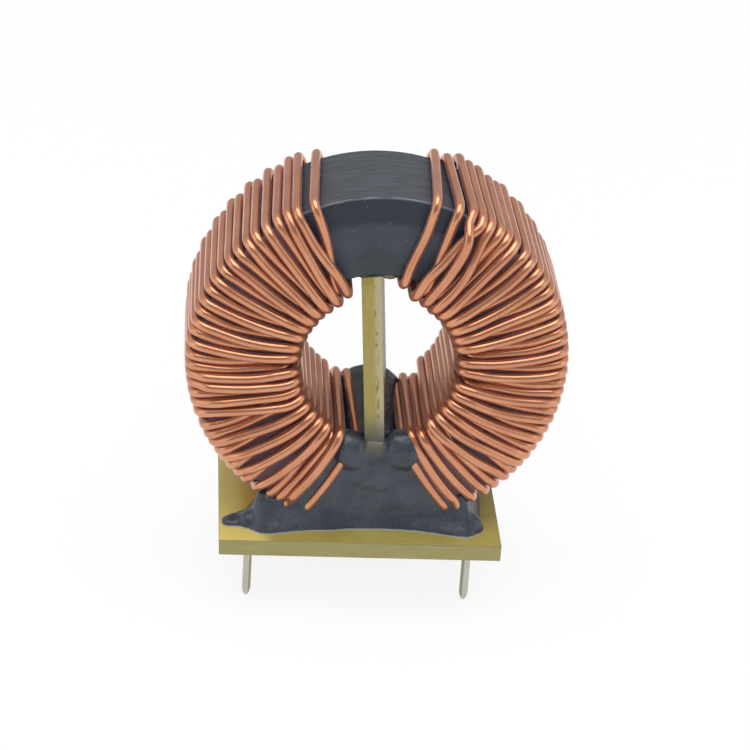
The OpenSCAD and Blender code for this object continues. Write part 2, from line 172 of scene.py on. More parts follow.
class Nodes:
    """A node tree and one method that makes any kind of node in it."""

    def __init__(self, tree):
        self.tree = tree

    def plug(self, socket, value):
        if isinstance(value, Link):
            self.tree.links.new(value.socket, socket)
        elif isinstance(value, tuple) and socket.type == "RGBA":
            socket.default_value = (*value[:3], 1)
        else:
            socket.default_value = value

    def node(self, kind, settings, *values, **named):
        made = self.tree.nodes.new(kind)
        for key, value in settings.items():
            setattr(made, key, value)
        sockets = [s for s in made.inputs if s.enabled]
        for socket, value in zip(sockets, values):
            self.plug(socket, value)
        for name, value in named.items():
            self.plug(next(s for s in sockets if s.name == name.replace("_", " ")), value)
        return {s.name: Link(self, s) for s in made.outputs if s.enabled}

    def band(self, value, low, high):
        """0 below low and 1 above high, or the other way round."""
        return self.node("ShaderNodeMapRange", {"interpolation_type": "SMOOTHSTEP"}, value,
                         From_Min=low, From_Max=high)["Result"]

    def mix(self, share, under, over):
        return self.node("ShaderNodeMix", {"data_type": "RGBA"}, share, under, over)["Result"]


class Finish(Nodes):
    """A material made of a Principled shader and the nodes that feed it."""

    def __init__(self, name, **constants):
        self.material = bpy.data.materials.new(name)
        self.material.use_nodes = True
        super().__init__(self.material.node_tree)
        self.shader = self.tree.nodes["Principled BSDF"]
        self.feed(**constants)

    def feed(self, **sockets):
        for name, value in sockets.items():
            self.plug(self.shader.inputs[name.replace("_", " ")], value)

    def colour(self):
        """What feeds the base colour so far."""
        return Link(self, self.shader.inputs["Base Color"].links[0].from_socket)

    def place(self, scale=(1, 1, 1), turn=(0, 0, 0), centre=(0, 0, 0)):
        """Object coordinates in millimetres about a centre, stretched and turned."""
        at = self.node("ShaderNodeTexCoord", {})["Object"]
        shift = Euler(turn).to_matrix() @ Vector([s * c for s, c in zip(scale, centre)])
        return self.node("ShaderNodeMapping", {}, at, Location=tuple(-shift), Rotation=turn,
                         Scale=tuple(s / MM for s in scale))["Vector"]

    def parts(self, vector):
        """The three parts of a vector as links."""
        split = self.node("ShaderNodeSeparateXYZ", {}, vector)
        return split["X"], split["Y"], split["Z"]

    def normal(self):
        """The three parts of the surface normal."""
        return self.parts(self.node("ShaderNodeNewGeometry", {})["Normal"])

    def reach(self, vector):
        """The length of a vector."""
        return self.node("ShaderNodeVectorMath", {"operation": "LENGTH"}, vector)["Value"]

    def noise(self, at, scale, detail=2.0, roughness=0.5):
        return self.node("ShaderNodeTexNoise", {}, Vector=at, Scale=scale, Detail=detail,
                         Roughness=roughness)["Fac"]

    def bump(self, height, distance_mm):
        normal = self.node("ShaderNodeBump", {}, Strength=1.0, Distance=distance_mm * MM,
                           Height=height)["Normal"]
        self.feed(Normal=normal)


def srgb(red, green, blue):
    """A colour given as it looks on a screen, 0 to 255, made linear."""
    def linear(v):
        v /= 255
        return v / 12.92 if v <= 0.04045 else ((v + 0.055) / 1.055) ** 2.4
    return (linear(red), linear(green), linear(blue))


def dress(node_name, finish):
    """Puts a finish on a solid of the frame."""
    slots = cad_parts[node_name].material_slots
    for slot in slots:
        slot.material = finish.material
    if not slots:
        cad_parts[node_name].data.materials.append(finish.material)


# %% [markdown]
# ## Stage and light
#
# The floor is plain white paint that keeps the part's shadow. What the camera sees of it directly,
# or in a mirror, is mixed with a plain white glow, so that the shadow stays faint.

# %% Floor
FLOOR_SIZE = 1.6
FLOOR_GLOW = 0.86

floor_z = cad_box[0].z
bpy.ops.object.select_all(action="DESELECT")
bpy.ops.mesh.primitive_plane_add(size=FLOOR_SIZE, location=(0, 0, floor_z))
floor = bpy.context.object
floor.name = "floor"

white = Finish("studio_white", Base_Color=(0.8, 0.8, 0.8), Roughness=0.9, Specular_IOR_Level=0.1)
seen = white.node("ShaderNodeLightPath", {})
seen_directly = seen["Is Camera Ray"] + seen["Is Glossy Ray"] + seen["Is Transmission Ray"]
lift = seen_directly.clamp() * FLOOR_GLOW
glow = white.node("ShaderNodeEmission", {}, (1.0, 1.0, 1.0), 1.0)["Emission"]
surface = Link(white, white.shader.outputs["BSDF"])
output = next(n for n in white.tree.nodes if n.type == "OUTPUT_MATERIAL")
white.tree.links.new(white.node("ShaderNodeMixShader", {}, lift, surface, glow)["Shader"].socket,
                     output.inputs["Surface"])
floor.data.materials.append(white.material)
print("floor at", round(floor_z / MM, 2), "mm")

# %% [markdown]
# The studio is a white tent with a dark opening for the lens, so each round wire mirrors white
# cloth along both of its sides and the opening as a darker line between them. A wide soft box
# hangs over the part and a smaller one stands on each side. A bend in the wire that is turned up
# to them flashes. The last lamp fills the shadows from the front and is hidden from reflections,
# which would show it as a spot in the dark opening.

# %% World and lamps
ROOM_LIGHT, LENS_DARK, BACK_DARK = 0.68, 0.32, 0.42
LENS_HOLE = (math.cos(math.radians(52)), math.cos(math.radians(30)))
BEHIND = (math.cos(math.radians(100)), math.cos(math.radians(140)))
AIM = Vector((0, 0, 0.016))
FILL_DISTANCE = 0.7
LAMPS = {  # place and size in metres, power in watts
    "overhead_box": ((0.0, -0.10, 0.55), 0.55, 2.3),
    "left_box": ((-0.50, -0.12, 0.16), 0.36, 0.25),
    "right_box": ((0.50, -0.12, 0.16), 0.36, 0.25),
    "front_fill": (tuple(AIM - forward * FILL_DISTANCE), 0.5, 2.1)}

world = bpy.data.worlds.new("studio")
world.use_nodes = True
bpy.context.scene.world = world
tent = Nodes(world.node_tree)
rays = tent.node("ShaderNodeLightPath", {})
looked_at = tent.node("ShaderNodeTexCoord", {})["Generated"]
towards_lens = tent.node("ShaderNodeVectorMath", {"operation": "DOT_PRODUCT"}, looked_at,
                         tuple(-forward))["Value"]
cloth = (tent.band(towards_lens, *LENS_HOLE) * (LENS_DARK - ROOM_LIGHT)
         + tent.band(towards_lens, *BEHIND) * (BACK_DARK - ROOM_LIGHT) + ROOM_LIGHT)
seen_white = rays["Is Camera Ray"].math("MAXIMUM", rays["Is Transmission Ray"])
sky = tent.node("ShaderNodeBackground", {}, (1.0, 1.0, 1.0),
                seen_white * (1 - cloth) + cloth)["Background"]
tent.tree.links.new(sky.socket, tent.tree.nodes["World Output"].inputs["Surface"])

for name, (place, size, power) in LAMPS.items():
    bpy.ops.object.light_add(type="AREA", location=place)
    lamp = bpy.context.object
    lamp.name = name
    lamp.data.size = size
    lamp.data.energy = power
    lamp.rotation_euler = (AIM - Vector(place)).to_track_quat("-Z", "Y").to_euler()
    lamp.visible_glossy = name != "front_fill"
print("lamps:", list(LAMPS))

# %% [markdown]
# ## How the wire is laid
#
# Each winding is one wire. It starts at the rear pin, winds up the ring as the lower layer, turns
# back at the top and comes down the ring again in the valleys of the turns below it. It was wound
# by hand, so no rule gives its places, and they are listed one by one here: every turn was read
# on a card that stands just in front of the ring, as its angle at five radii. The lists below
# are those readings, and all that follows from them is worked out. The turns that are crossed come
# first in the upper layer, out of their order.

# %% Winding sizes
WIRE_D = 0.85
WIRE_R = WIRE_D / 2
GAP = 0.03  # between a wire and what it lies on
SLACK = 0.155  # of the outer runs, which aren't pulled flat
RING_TURN = 3.4
WIRE_STEP = WIRE_D + GAP
REST_STEP = WIRE_STEP + 0.01
OUTER_R = RING_R + WIRE_R + GAP + SLACK
BORE_PROUD, FACE_PROUD, PROUD_RUN, PROUD_CURVE = 0.22, 0.26, 3.2, 1.5
EDGE_LIFT = 0.22
INNER_R = BORE_R - WIRE_R - GAP - BORE_PROUD
FACE_Y = RING_H / 2 + WIRE_R + GAP
REAR_Y = FACE_Y + WIRE_STEP
OUTER_BEND, LOWER_BEND, UPPER_BEND = 1.05, 1.1, 1.15
LEFT, RIGHT = -1, 1
print("wire laid at", round(OUTER_R, 2), "outside and", round(INNER_R, 2), "inside")

# %% Readings of the turns, from the top down, L in the lower layer and U in the upper one
READINGS = {LEFT: """
L 17.7 18.3 20.0 22.8 23.4      | U 23.1 22.4 20.8 17.7 14.6      | U 26.2 26.4 26.4 26.3 24.9 |
L 29.2 29.2 29.2 28.2 29.2      | U 33.2 33.4 33.4 33.6 33.5      | L 36.8 36.6 36.1 34.9 35.3 |
U 40.3 40.7 40.6 40.5 40.4      | L 43.8 43.6 43.4 42.0 41.4      | U 47.7 47.9 48.0 47.6 47.3 |
L 50.9 50.8 50.5 48.4 47.5      | U 55.0 55.4 55.2 54.5 53.2      | L 58.4 58.8 58.1 55.8 53.8 |
U 62.6 63.0 62.9 61.9 60.2      | L 65.9 66.7 65.9 63.0 60.8      | U 70.0 70.8 71.2 70.2 68.3 |
L 72.6 73.5 73.2 71.1 68.0      | U 76.9 77.7 78.0 77.2 75.2      | L 80.6 81.0 80.0 77.8 75.2 |
L 84.0 84.7 84.1 82.3 81.8      | U 87.3 88.6 89.0 88.8 87.5      | U 90.5 92.3 93.2 93.8 94.1 |
L 93.4 94.8 95.4 94.0 91.5      | U 97.3 98.6 99.3 100.0 100.5    | U 101.0 102.4 104.3 106.4 107.2 |
L 105.5 106.6 105.8 103.6 101.5 | L 109.4 110.3 109.6 107.9 108.2 | U 112.8 114.0 115.3 116.3 116.3 |
L 115.9 117.1 116.4 115.5 115.5 | U 119.6 121.8 123.3 124.5 124.5 | L 122.5 123.1 122.8 122.5 122.8 |
U 126.1 128.8 130.6 131.7 131.8 | L 129.2 130.2 130.0 129.7 130.4 | U 133.5 136.5 138.0 139.1 139.2 |
L 139.0 140.3 140.3 139.0 138.0 | L 142.8 144.0 144.6 145.2 145.4 | U 146.2 147.3 149.0 150.1 151.6 |
L 153.3 154.2 156.1 157.9 159.3""",
            RIGHT: """
L 17.0 16.6 15.4 14.4 14.0      | L 23.8 24.5 25.6 26.8 27.6      | U 29.9 31.9 32.3 31.7 30.8 |
U 29.8 28.5 26.8 22.3 18.4      | U 34.6 36.3 38.3 38.9 38.9      | L 37.4 37.1 36.4 34.9 34.0 |
L 40.4 40.5 40.1 39.5 40.2      | U 43.8 44.0 44.3 44.5 44.5      | L 47.9 48.2 47.9 45.9 46.4 |
U 51.4 52.4 52.6 52.4 51.3      | L 54.7 55.0 54.4 52.8 52.6      | U 58.6 59.4 59.8 59.8 58.5 |
L 61.8 61.9 60.8 59.5 58.9      | U 65.7 66.0 65.7 65.6 64.9      | L 68.4 68.7 68.3 66.2 65.2 |
U 72.5 73.0 73.2 73.0 71.8      | L 75.6 76.3 75.6 73.5 71.5      | L 78.9 79.8 79.5 77.5 77.8 |
U 83.1 84.0 84.3 84.0 82.0      | L 86.3 87.0 86.5 85.0 84.1      | U 90.2 91.3 91.6 91.1 89.0 |
L 93.2 94.0 93.7 92.1 90.4      | L 96.5 97.5 97.3 96.2 96.6      | U 100.5 101.7 102.4 102.3 101.0 |
L 103.1 104.1 104.1 103.5 102.9 | U 106.8 108.3 109.3 109.4 108.0 | L 110.2 111.3 111.3 110.0 109.2 |
U 114.3 115.5 116.1 116.2 114.9 | L 117.8 118.7 118.5 118.0 116.7 | U 121.6 122.7 123.3 123.3 122.6 |
U 125.3 126.7 128.1 129.5 129.8 | L 128.3 128.7 127.8 126.0 124.4 | U 132.0 133.2 134.9 135.9 136.4 |
L 136.3 136.9 136.9 136.5 133.5 | L 140.0 141.2 141.5 141.3 140.8 | L 144.9 146.4 147.4 147.8 147.6 |
U 150.6 151.8 153.2 153.7 154.0 | L 154.7 156.0 157.7 159.3 160.8"""}
CROSSED = {LEFT: [1], RIGHT: [3, 2]}


def read_turns(side):
    rows = [row.split() for row in READINGS[side].split("|")]
    return [(row[0] == "U", [float(v) for v in row[1:]]) for row in rows]


TURNS = {side: read_turns(side) for side in (LEFT, RIGHT)}
LOWERS, UPPERS = {}, {}
for side, rows in TURNS.items():
    LOWERS[side] = [j for j, (upper, _) in enumerate(rows) if not upper]
    UPPERS[side] = CROSSED[side] + [j for j, (upper, _) in enumerate(rows)
                                    if upper and j not in CROSSED[side]]
print("turns:", {side: (len(LOWERS[side]), len(UPPERS[side])) for side in TURNS})

# %% [markdown]
# ### Which wire lies on which
#
# A turn of the upper layer rests on whatever wire it meets. Along each of its points the wires
# below are searched for the highest support, and the taut wire then spans from one support to the
# next, which is the upper hull of those heights. The lower layer only stands off the face a little
# where it comes round the edge of the bore.

# %% Heights of the runs
def flat(radii, angles):
    a = np.radians(angles)
    return np.stack([radii * np.sin(a), radii * np.cos(a)], -1)


def proud(radii):
    """How far stiff wire stands off the face as it comes round the edge of the bore."""
    from_edge = radii - INNER_R - LOWER_BEND
    return FACE_PROUD * np.clip(1 - from_edge / PROUD_RUN, 0, 1) ** PROUD_CURVE


def support(points, laid):
    """Height of the highest wire that each point would rest on."""
    heights = np.zeros(len(points))
    for wire, wire_heights in laid:
        apart = np.linalg.norm(points[:, None] - wire[None], axis=-1)
        on_top = wire_heights[None] + np.sqrt(np.clip(REST_STEP ** 2 - apart ** 2, 0, None))
        heights = np.maximum(heights, np.where(apart < REST_STEP, on_top, 0).max(axis=1))
    return heights


def taut(x, heights):
    """The upper hull of the heights: a taut string laid over them."""
    kept = []
    for i in range(len(x)):
        while len(kept) > 1:
            a, b = kept[-2:]
            if ((heights[b] - heights[a]) * (x[i] - x[a])
                    > (heights[i] - heights[a]) * (x[b] - x[a])):
                break
            kept.pop()
        kept.append(i)
    return np.interp(x, x[kept], heights[kept])


def run_heights(side, radii, angles):
    """Height of every turn along its run, from the angles of all turns at the radii."""
    laid, heights = [], {}
    for j in LOWERS[side] + UPPERS[side]:
        run = flat(radii, angles[j])
        if j in LOWERS[side]:
            heights[j] = proud(radii)
        else:
            found = support(run, laid)
            found[0] = EDGE_LIFT
            heights[j] = taut(-radii, found)
        laid.append((run, heights[j]))
    return heights


print("a lone wire stands off the face by", FACE_PROUD, "mm at the bore")

# %% [markdown]
# ### From the card to the ring
#
# Wire that lies behind the card seems shifted on it. So the line of sight from the camera's place
# through each reading is followed on to the depth of the wire, and its angle is taken there.
# Between the five readings the line keeps to a curve that never overshoots them.

# %% Lines of sight through the card
CARD_RADII = np.array([16.0, 14.0, 12.0, 10.0, 8.7])
CARD_PLACE = np.array([0.7, -6.6, 17.09])  # a little below the ring's own centre
SIGHT_RADII = np.linspace(18, 7, 56)  # past both ends of the readings
RUN_EDGE = 15.55  # where the runs on the face begin
RUN_RADII = np.linspace(RUN_EDGE, INNER_R + LOWER_BEND, 41)
SIGHT_ROUNDS = 3
EYE = np.array(CAMERA_PLACE)


def placed(side, angle):
    return side * angle - RING_TURN


def end_slope(near, far, slope, next_slope):
    """Slope at the end of a curve, from its first two steps and their slopes."""
    found = ((2 * near + far) * slope - near * next_slope) / (near + far)
    if found * slope <= 0:
        return 0.0
    turns_back = slope * next_slope < 0 and abs(found) > 3 * abs(slope)
    return 3 * slope if turns_back else found


def steady_curve(x, y, at):
    """A cubic curve through the points that never overshoots between two of them."""
    step = np.diff(x)
    slope = np.diff(y) / step
    slopes = [end_slope(step[0], step[1], slope[0], slope[1])]
    for i in range(1, len(step)):
        near, far = 2 * step[i] + step[i - 1], step[i] + 2 * step[i - 1]
        same_way = slope[i - 1] * slope[i] > 0
        slopes.append((near + far) / (near / slope[i - 1] + far / slope[i]) if same_way else 0)
    slopes.append(end_slope(step[-1], step[-2], slope[-1], slope[-2]))
    slopes = np.array(slopes)
    k = np.clip(np.searchsorted(x, at, side="right") - 1, 0, len(step) - 1)
    t, h = (at - x[k]) / step[k], step[k]
    return ((2 * t ** 3 - 3 * t ** 2 + 1) * y[k] + (t ** 3 - 2 * t ** 2 + t) * h * slopes[k]
            + (3 * t ** 2 - 2 * t ** 3) * y[k + 1] + (t ** 3 - t ** 2) * h * slopes[k + 1])


def behind_card(side, readings, heights):
    """Angles of a turn along its run, where the lines of sight through its readings meet it."""
    read = steady_curve(CARD_RADII[::-1], np.array(readings[::-1]), SIGHT_RADII)
    a = np.radians(placed(side, read))
    on_card = CARD_PLACE + np.stack([SIGHT_RADII * np.sin(a), 0 * a, SIGHT_RADII * np.cos(a)], -1)
    sight = on_card - EYE
    wire_y = RING.y - FACE_Y
    for _ in range(SIGHT_ROUNDS):
        met = EYE + sight * ((wire_y - EYE[1]) / sight[:, 1])[:, None]
        x, z = met[:, 0] - RING.x, met[:, 2] - RING.z
        from_axis = np.hypot(x, z)
        wire_y = RING.y - FACE_Y - np.interp(from_axis, RUN_RADII[::-1], heights[::-1])
    angles = side * (np.degrees(np.arctan2(x, z)) + RING_TURN)
    order = np.argsort(from_axis)
    return np.interp(RUN_RADII, from_axis[order], angles[order])


print("card", round(RING.y - FACE_Y - CARD_PLACE[1], 2), "mm in front of the first wires")

# %% [markdown]
# ### Room for every wire
#
# How high a wire lies comes from the angles of those below it, and its angle comes from how high
# it lies, so the two are worked out in turn, a few times over. Wires can't share a place either.
# Neighbours that were read too close are pushed apart, at the outer edge, in the bore and then all
# along the face. A tenth of a degree is as fine as a reading, so the angles are rounded to that.

# %% Room at the ends and along the face
EDGE_APART, FACE_APART = 0.90, 0.87  # least distances between the middles of two wires
LOWER_APART, UPPER_APART = 0.885, 0.88  # the same in the bore
UPPER_BORE_R = INNER_R - 0.74  # about where the upper layer runs in the bore
SPREAD_ROUNDS, SPREAD_SHARE = 400, 0.45
PUSH_ROUNDS, PUSH_SHARE = 80, 0.3
EDGE_FELT, BORE_FELT = 0.3, 0.35  # how far along a run a shift of its ends is felt
ALONG = np.linspace(0, 1, len(RUN_RADII))
NEAR_EDGE = np.clip(1 - ALONG / EDGE_FELT, 0, 1) ** 2
NEAR_BORE = np.clip(1 - (1 - ALONG) / BORE_FELT, 0, 1) ** 2


def spread(angles, least):
    """Pushes neighbours apart until no two are closer than the least angle."""
    angles = np.array(angles)
    for _ in range(SPREAD_ROUNDS):
        push = SPREAD_SHARE * np.maximum(0, least - np.diff(angles))
        angles[:-1] -= push
        angles[1:] += push
    return angles


def spread_ends(side, angles):
    """Makes room at both ends of the runs, and lets each run follow its ends."""
    edge = spread([angles[j][0] for j in angles], math.degrees(EDGE_APART / OUTER_R))
    uppers = sorted(UPPERS[side], key=lambda j: angles[j][-1])
    bore = {}
    for layer, least in ((LOWERS[side], LOWER_APART / INNER_R),
                         (uppers, UPPER_APART / UPPER_BORE_R)):
        ends = spread([angles[j][-1] for j in layer], math.degrees(least))
        bore.update(zip(layer, ends))
    return {j: a + (edge[j] - a[0]) * NEAR_EDGE + (bore[j] - a[-1]) * NEAR_BORE
            for j, a in angles.items()}


def spread_faces(side, angles):
    """Makes room between the ends, where neighbours of a layer run side by side."""
    uncrossed = [j for j in UPPERS[side] if j not in CROSSED[side]]
    for _ in range(PUSH_ROUNDS):
        for layer in (LOWERS[side], uncrossed):
            for a, b in zip(layer, layer[1:]):
                short = np.maximum(0, FACE_APART - np.radians(angles[b] - angles[a]) * RUN_RADII)
                push = PUSH_SHARE * np.degrees(short / RUN_RADII)
                push[[0, -1]] = 0
                angles[a] = angles[a] - push
                angles[b] = angles[b] + push


print("least angle at the outer edge:", round(math.degrees(EDGE_APART / OUTER_R), 2))

# %% True angles of the turns
LAYING_ROUNDS = 4
FIRST_HEIGHTS = 0.75 * np.sin(np.linspace(0.3, 1.5, len(RUN_RADII)))  # a guess for the upper layer
MIDDLE_R = 12  # about the middle of a run, where the curve through its angles is centred
SET_BY_HAND = {(LEFT, 35): (149.3, 149.8, 151.1, 151.9, 152.4)}  # it leaves for its pin


def through_five(angles, run, radii):
    """Angles at the radii, on the curve through five that are spaced evenly over a run."""
    five = np.linspace(run[0], run[-1], len(angles))
    return np.polyval(np.polyfit(five - MIDDLE_R, angles, len(angles) - 1), radii - MIDDLE_R)


def true_angles(side):
    """Five angles of every turn, from the outer bend to the bore."""
    heights = {j: FIRST_HEIGHTS if upper else proud(RUN_RADII)
               for j, (upper, _) in enumerate(TURNS[side])}
    five_radii = np.linspace(RUN_RADII[0], RUN_RADII[-1], len(CARD_RADII))
    for _ in range(LAYING_ROUNDS):
        angles = {j: behind_card(side, readings, heights[j])
                  for j, (_, readings) in enumerate(TURNS[side])}
        angles = spread_ends(side, angles)
        spread_faces(side, angles)
        five = {j: np.round(np.interp(-five_radii, -RUN_RADII, a), 1) for j, a in angles.items()}
        smooth = {j: through_five(a, RUN_RADII, RUN_RADII) for j, a in five.items()}
        heights = run_heights(side, RUN_RADII, smooth)
    return {j: SET_BY_HAND.get((side, j), a) for j, a in five.items()}


ANGLES = {side: true_angles(side) for side in TURNS}
print("first turn on the right:", [float(a) for a in ANGLES[RIGHT][0]])

# %% [markdown]
# The search for supports is made once more on the finished runs, at three times as many points
# as the wire is made of there.

# %% Heights on the front face
FACE_POINTS = 25
FACE_RADII = np.linspace(OUTER_R - OUTER_BEND, INNER_R + LOWER_BEND, FACE_POINTS)
SEARCH_RADII = np.linspace(FACE_RADII[0], FACE_RADII[-1], 3 * FACE_POINTS)


def outer_angle(side, j):
    return ANGLES[side][j][0]


def inner_angle(side, j):
    return ANGLES[side][j][-1]


def face_angles(side, j, radii):
    return through_five(ANGLES[side][j], FACE_RADII, radii)


def face_heights(side):
    """Height of every turn along its run on the front face."""
    angles = {j: face_angles(side, j, SEARCH_RADII) for j in ANGLES[side]}
    return {j: np.interp(-FACE_RADII, -SEARCH_RADII, found)
            for j, found in run_heights(side, SEARCH_RADII, angles).items()}


HEIGHTS = {side: face_heights(side) for side in TURNS}


def bore_level(side, j):
    """Radius of an upper turn's run in the bore, which rests on the runs beside it."""
    level = INNER_R
    for k in LOWERS[side]:
        apart = math.radians(abs(inner_angle(side, j) - inner_angle(side, k)))
        across = INNER_R * math.sin(apart)
        if apart < 1 and across < REST_STEP:
            rise_between = math.sqrt(REST_STEP ** 2 - across ** 2)
            level = min(level, INNER_R * math.cos(apart) - rise_between)
    return level


print("upper turns lie", round(max(h.max() for h in HEIGHTS[RIGHT].values()), 2),
      "mm up where they cross")

# %% [markdown]
# ### One turn after another
#
# A turn is a list of stations, each a radius, a depth and an angle about the ring. A station
# marked as a bend is joined to the next one by a round curve, and the others by a run of wire.
# The outer runs don't lie square to the ring: their rear ends lean back towards the top. The last
# turn of the lower layer on the left hangs loose at the rear of the bore.

# %% Stations of a turn
BEND, RUN = "bend", "run"
REAR_BEND = 0.85
OUTER_SKEW = 1.5
FIRST_SKEW = {LEFT: 1.8, RIGHT: -1.4}
LOOSE_RUN = {(LEFT, 36): (6.7, 160.2, 166.8)}  # radius and angle behind, angle in front
REAR_INSET, REAR_SLOPE = 2.3, 0.7
CROSSING, CROSSING_SLOPE, CROSSING_LIFT = (RIGHT, 2), 1.2, 0.5


def outer_run(side, j, rear_level):
    """From the front face over the outside of the ring and down on to its rear face."""
    a = outer_angle(side, j)
    back = a - (FIRST_SKEW[side] if j == 0 else OUTER_SKEW)
    return [
        (OUTER_R - OUTER_BEND, -FACE_Y - HEIGHTS[side][j][0], a, BEND),
        (OUTER_R, OUTER_BEND - FACE_Y, a, RUN),
        (OUTER_R, 0.0, (a + back) / 2, RUN),
        (OUTER_R, rear_level - REAR_BEND, back, BEND),
        (OUTER_R - REAR_BEND, rear_level, back, RUN)]


def face_run(side, j):
    """From the bore out over the front face, lifted by what lies under it."""
    angles = face_angles(side, j, FACE_RADII)
    return [(FACE_RADII[i], -FACE_Y - HEIGHTS[side][j][i], angles[i], RUN)
            for i in range(FACE_POINTS - 2, 0, -1)]


def lower_turn(side, j):
    """A loose run in the bore has its own radius and angle behind, and its own angle in front."""
    c = inner_angle(side, j)
    b, y = LOWER_BEND, FACE_Y + FACE_PROUD
    behind, c_behind, c_front = LOOSE_RUN.get((side, j), (INNER_R, c, c))
    return [
        (behind + b, y, c_behind, BEND), (behind, y - b, c_behind, RUN),
        (INNER_R, b - y, c_front, BEND), (INNER_R + b, -y, c, RUN),
        *face_run(side, j), *outer_run(side, j, FACE_Y)]


def upper_turn(side, j):
    """Behind the ring the wire climbs from the outer edge on to the turns of the lower layer."""
    c = inner_angle(side, j)
    bore, b = bore_level(side, j), UPPER_BEND
    end_y = FACE_Y + HEIGHTS[side][j][-1]
    crosses = (side, j) == CROSSING
    rear = outer_run(side, j, FACE_Y + (CROSSING_SLOPE if crosses else REAR_SLOPE))
    rear.append((OUTER_R - REAR_INSET, REAR_Y + (CROSSING_LIFT if crosses else 0),
                 outer_angle(side, j) - OUTER_SKEW * 0.5, RUN))
    return [
        (bore + b, REAR_Y, c, BEND), (bore, REAR_Y - b, c, RUN),
        (bore, b - end_y, c, BEND), (INNER_R + LOWER_BEND, -end_y, c, RUN),
        *face_run(side, j), *rear]


# %% [markdown]
# ### Leads
#
# The first end of each wire comes along the board behind the ring, from beside its rear pin. The
# last one leaves the ring near the foot, dives into the adhesive and bends down by its front pin.

# %% Leads
LEAD_ANGLE = 161.3
PIN_SIDE = 0.64
PIN_REACH = 0.62 * PIN_SIDE  # from a pin's middle to the side of it that a lead touches
front_pin_low, front_pin_high = box_mm("pin_front_left")
PIN_X = abs(front_pin_low.x + front_pin_high.x) / 2
PIN_Y = abs(front_pin_low.y + front_pin_high.y) / 2
LEAD_Y = PIN_Y + PIN_REACH + WIRE_R + 0.01
LEAD_LIFT = 0.08
LEAD_BEND, LEAD_END = 0.6, (0.1, 0.1, 0.5)  # before the ring's foot, and past it
LEAVING_INSET, DIVE = 1.3, 0.3
KNEE_Z, DOWN_Z = 0.95, 0.15


def on_ring(radius, y, angle):
    a = math.radians(angle)
    return np.array([RING.x + radius * math.sin(a), RING.y + y, RING.z + radius * math.cos(a)])


def rear_lead(side):
    a = placed(side, LEAD_ANGLE)
    lead_z = BOARD_TOP + WIRE_R + LEAD_LIFT
    slant = math.tan(math.radians(180 - a if a > 0 else -180 - a))
    foot_x = RING.x + (RING.z - lead_z) * slant
    past_x, past_y, past_z = LEAD_END
    return [np.array([side * (PIN_X + WIRE_R), LEAD_Y, lead_z]),
            np.array([foot_x + side * LEAD_BEND, LEAD_Y, lead_z]),
            np.array([foot_x - side * past_x, LEAD_Y - past_y, lead_z + past_z])]


def front_lead(side):
    a = placed(side, outer_angle(side, UPPERS[side][-1]))
    edge = on_ring(OUTER_R, 0, a)
    knee = np.array([side * (PIN_X - PIN_REACH - WIRE_R), -PIN_Y, BOARD_TOP + KNEE_Z])
    return [on_ring(OUTER_R - LEAVING_INSET, -FACE_Y, a),
            np.array([edge[0], -PIN_Y - DIVE, edge[2]]),
            knee, np.array([knee[0], knee[1], BOARD_TOP + DOWN_Z])]


print("leads lie beside pins at", round(PIN_X, 2), "and", round(PIN_Y, 2))

# %% [markdown]
# ### From stations to a smooth path
#
# Bends become curves that leave one run and enter the next in its own direction. Runs are cut
# into short stretches, and the whole path is then relaxed a little, which rounds the small kinks
# where one run meets another.

# %% Smooth path of a winding
BEND_REACH, BEND_STEPS = 0.38, 6
RUN_STEP = 1.3
RELAX_ROUNDS, RELAX_SHARE = 5, 0.2


def stations_to_points(side, stations):
    return [(on_ring(r, y, placed(side, a)), kind) for r, y, a, kind in stations]


def winding_points(side):
    points = [(p, RUN) for p in rear_lead(side)]
    for j in reversed(LOWERS[side]):
        points += stations_to_points(side, lower_turn(side, j))
    for j in UPPERS[side][:-1]:
        points += stations_to_points(side, upper_turn(side, j))
    leaving = upper_turn(side, UPPERS[side][-1])
    cut = next(i for i, s in enumerate(leaving) if s[3] == BEND and s[0] > MIDDLE_R)
    points += stations_to_points(side, leaving[:cut])
    points += [(p, RUN) for p in front_lead(side)]
    return points


def unit(v):
    return v / np.linalg.norm(v)


def curve_between(before, start, end, after):
    reach = BEND_REACH * np.linalg.norm(end - start)
    a, b = start + reach * unit(start - before), end - reach * unit(after - end)
    shares = [(k + 1) / BEND_STEPS for k in range(BEND_STEPS)]
    return [(1 - t) ** 3 * start + 3 * (1 - t) ** 2 * t * a + 3 * (1 - t) * t ** 2 * b
            + t ** 3 * end for t in shares]


def smooth_path(points):
    path = [points[0][0]]
    for k in range(len(points) - 1):
        (start, kind), (end, _) = points[k], points[k + 1]
        if kind == BEND:
            path += curve_between(points[k - 1][0], start, end, points[k + 2][0])
        else:
            pieces = max(1, math.ceil(np.linalg.norm(end - start) / RUN_STEP))
            path += [start + (end - start) * (i + 1) / pieces for i in range(pieces)]
    return np.array(path)


def relaxed(path):
    """Moves each point a little towards the middle of its neighbours."""
    path = path.copy()
    for _ in range(RELAX_ROUNDS):
        middle = (path[:-2] + path[2:]) / 2
        path[1:-1] += RELAX_SHARE * (middle - path[1:-1])
    return path


# %% [markdown]
# ### Sweeping the wire
#
# A ring of points is carried along the path. Each ring starts from the one before and is only
# tilted as the path turns, so the wire never twists.

# %% Sweep a round wire
WIRE_SIDES = 14
FIRST_SIDE = [0.3, 1.0, 0.2]  # any direction that the path doesn't start in


def mesh_object(name, points, faces):
    """An object from points in millimetres and faces."""
    mesh = bpy.data.meshes.new(name)
    mesh.from_pydata((np.array(points) * MM).tolist(), [], faces)
    made = bpy.data.objects.new(name, mesh)
    bpy.context.collection.objects.link(made)
    return made


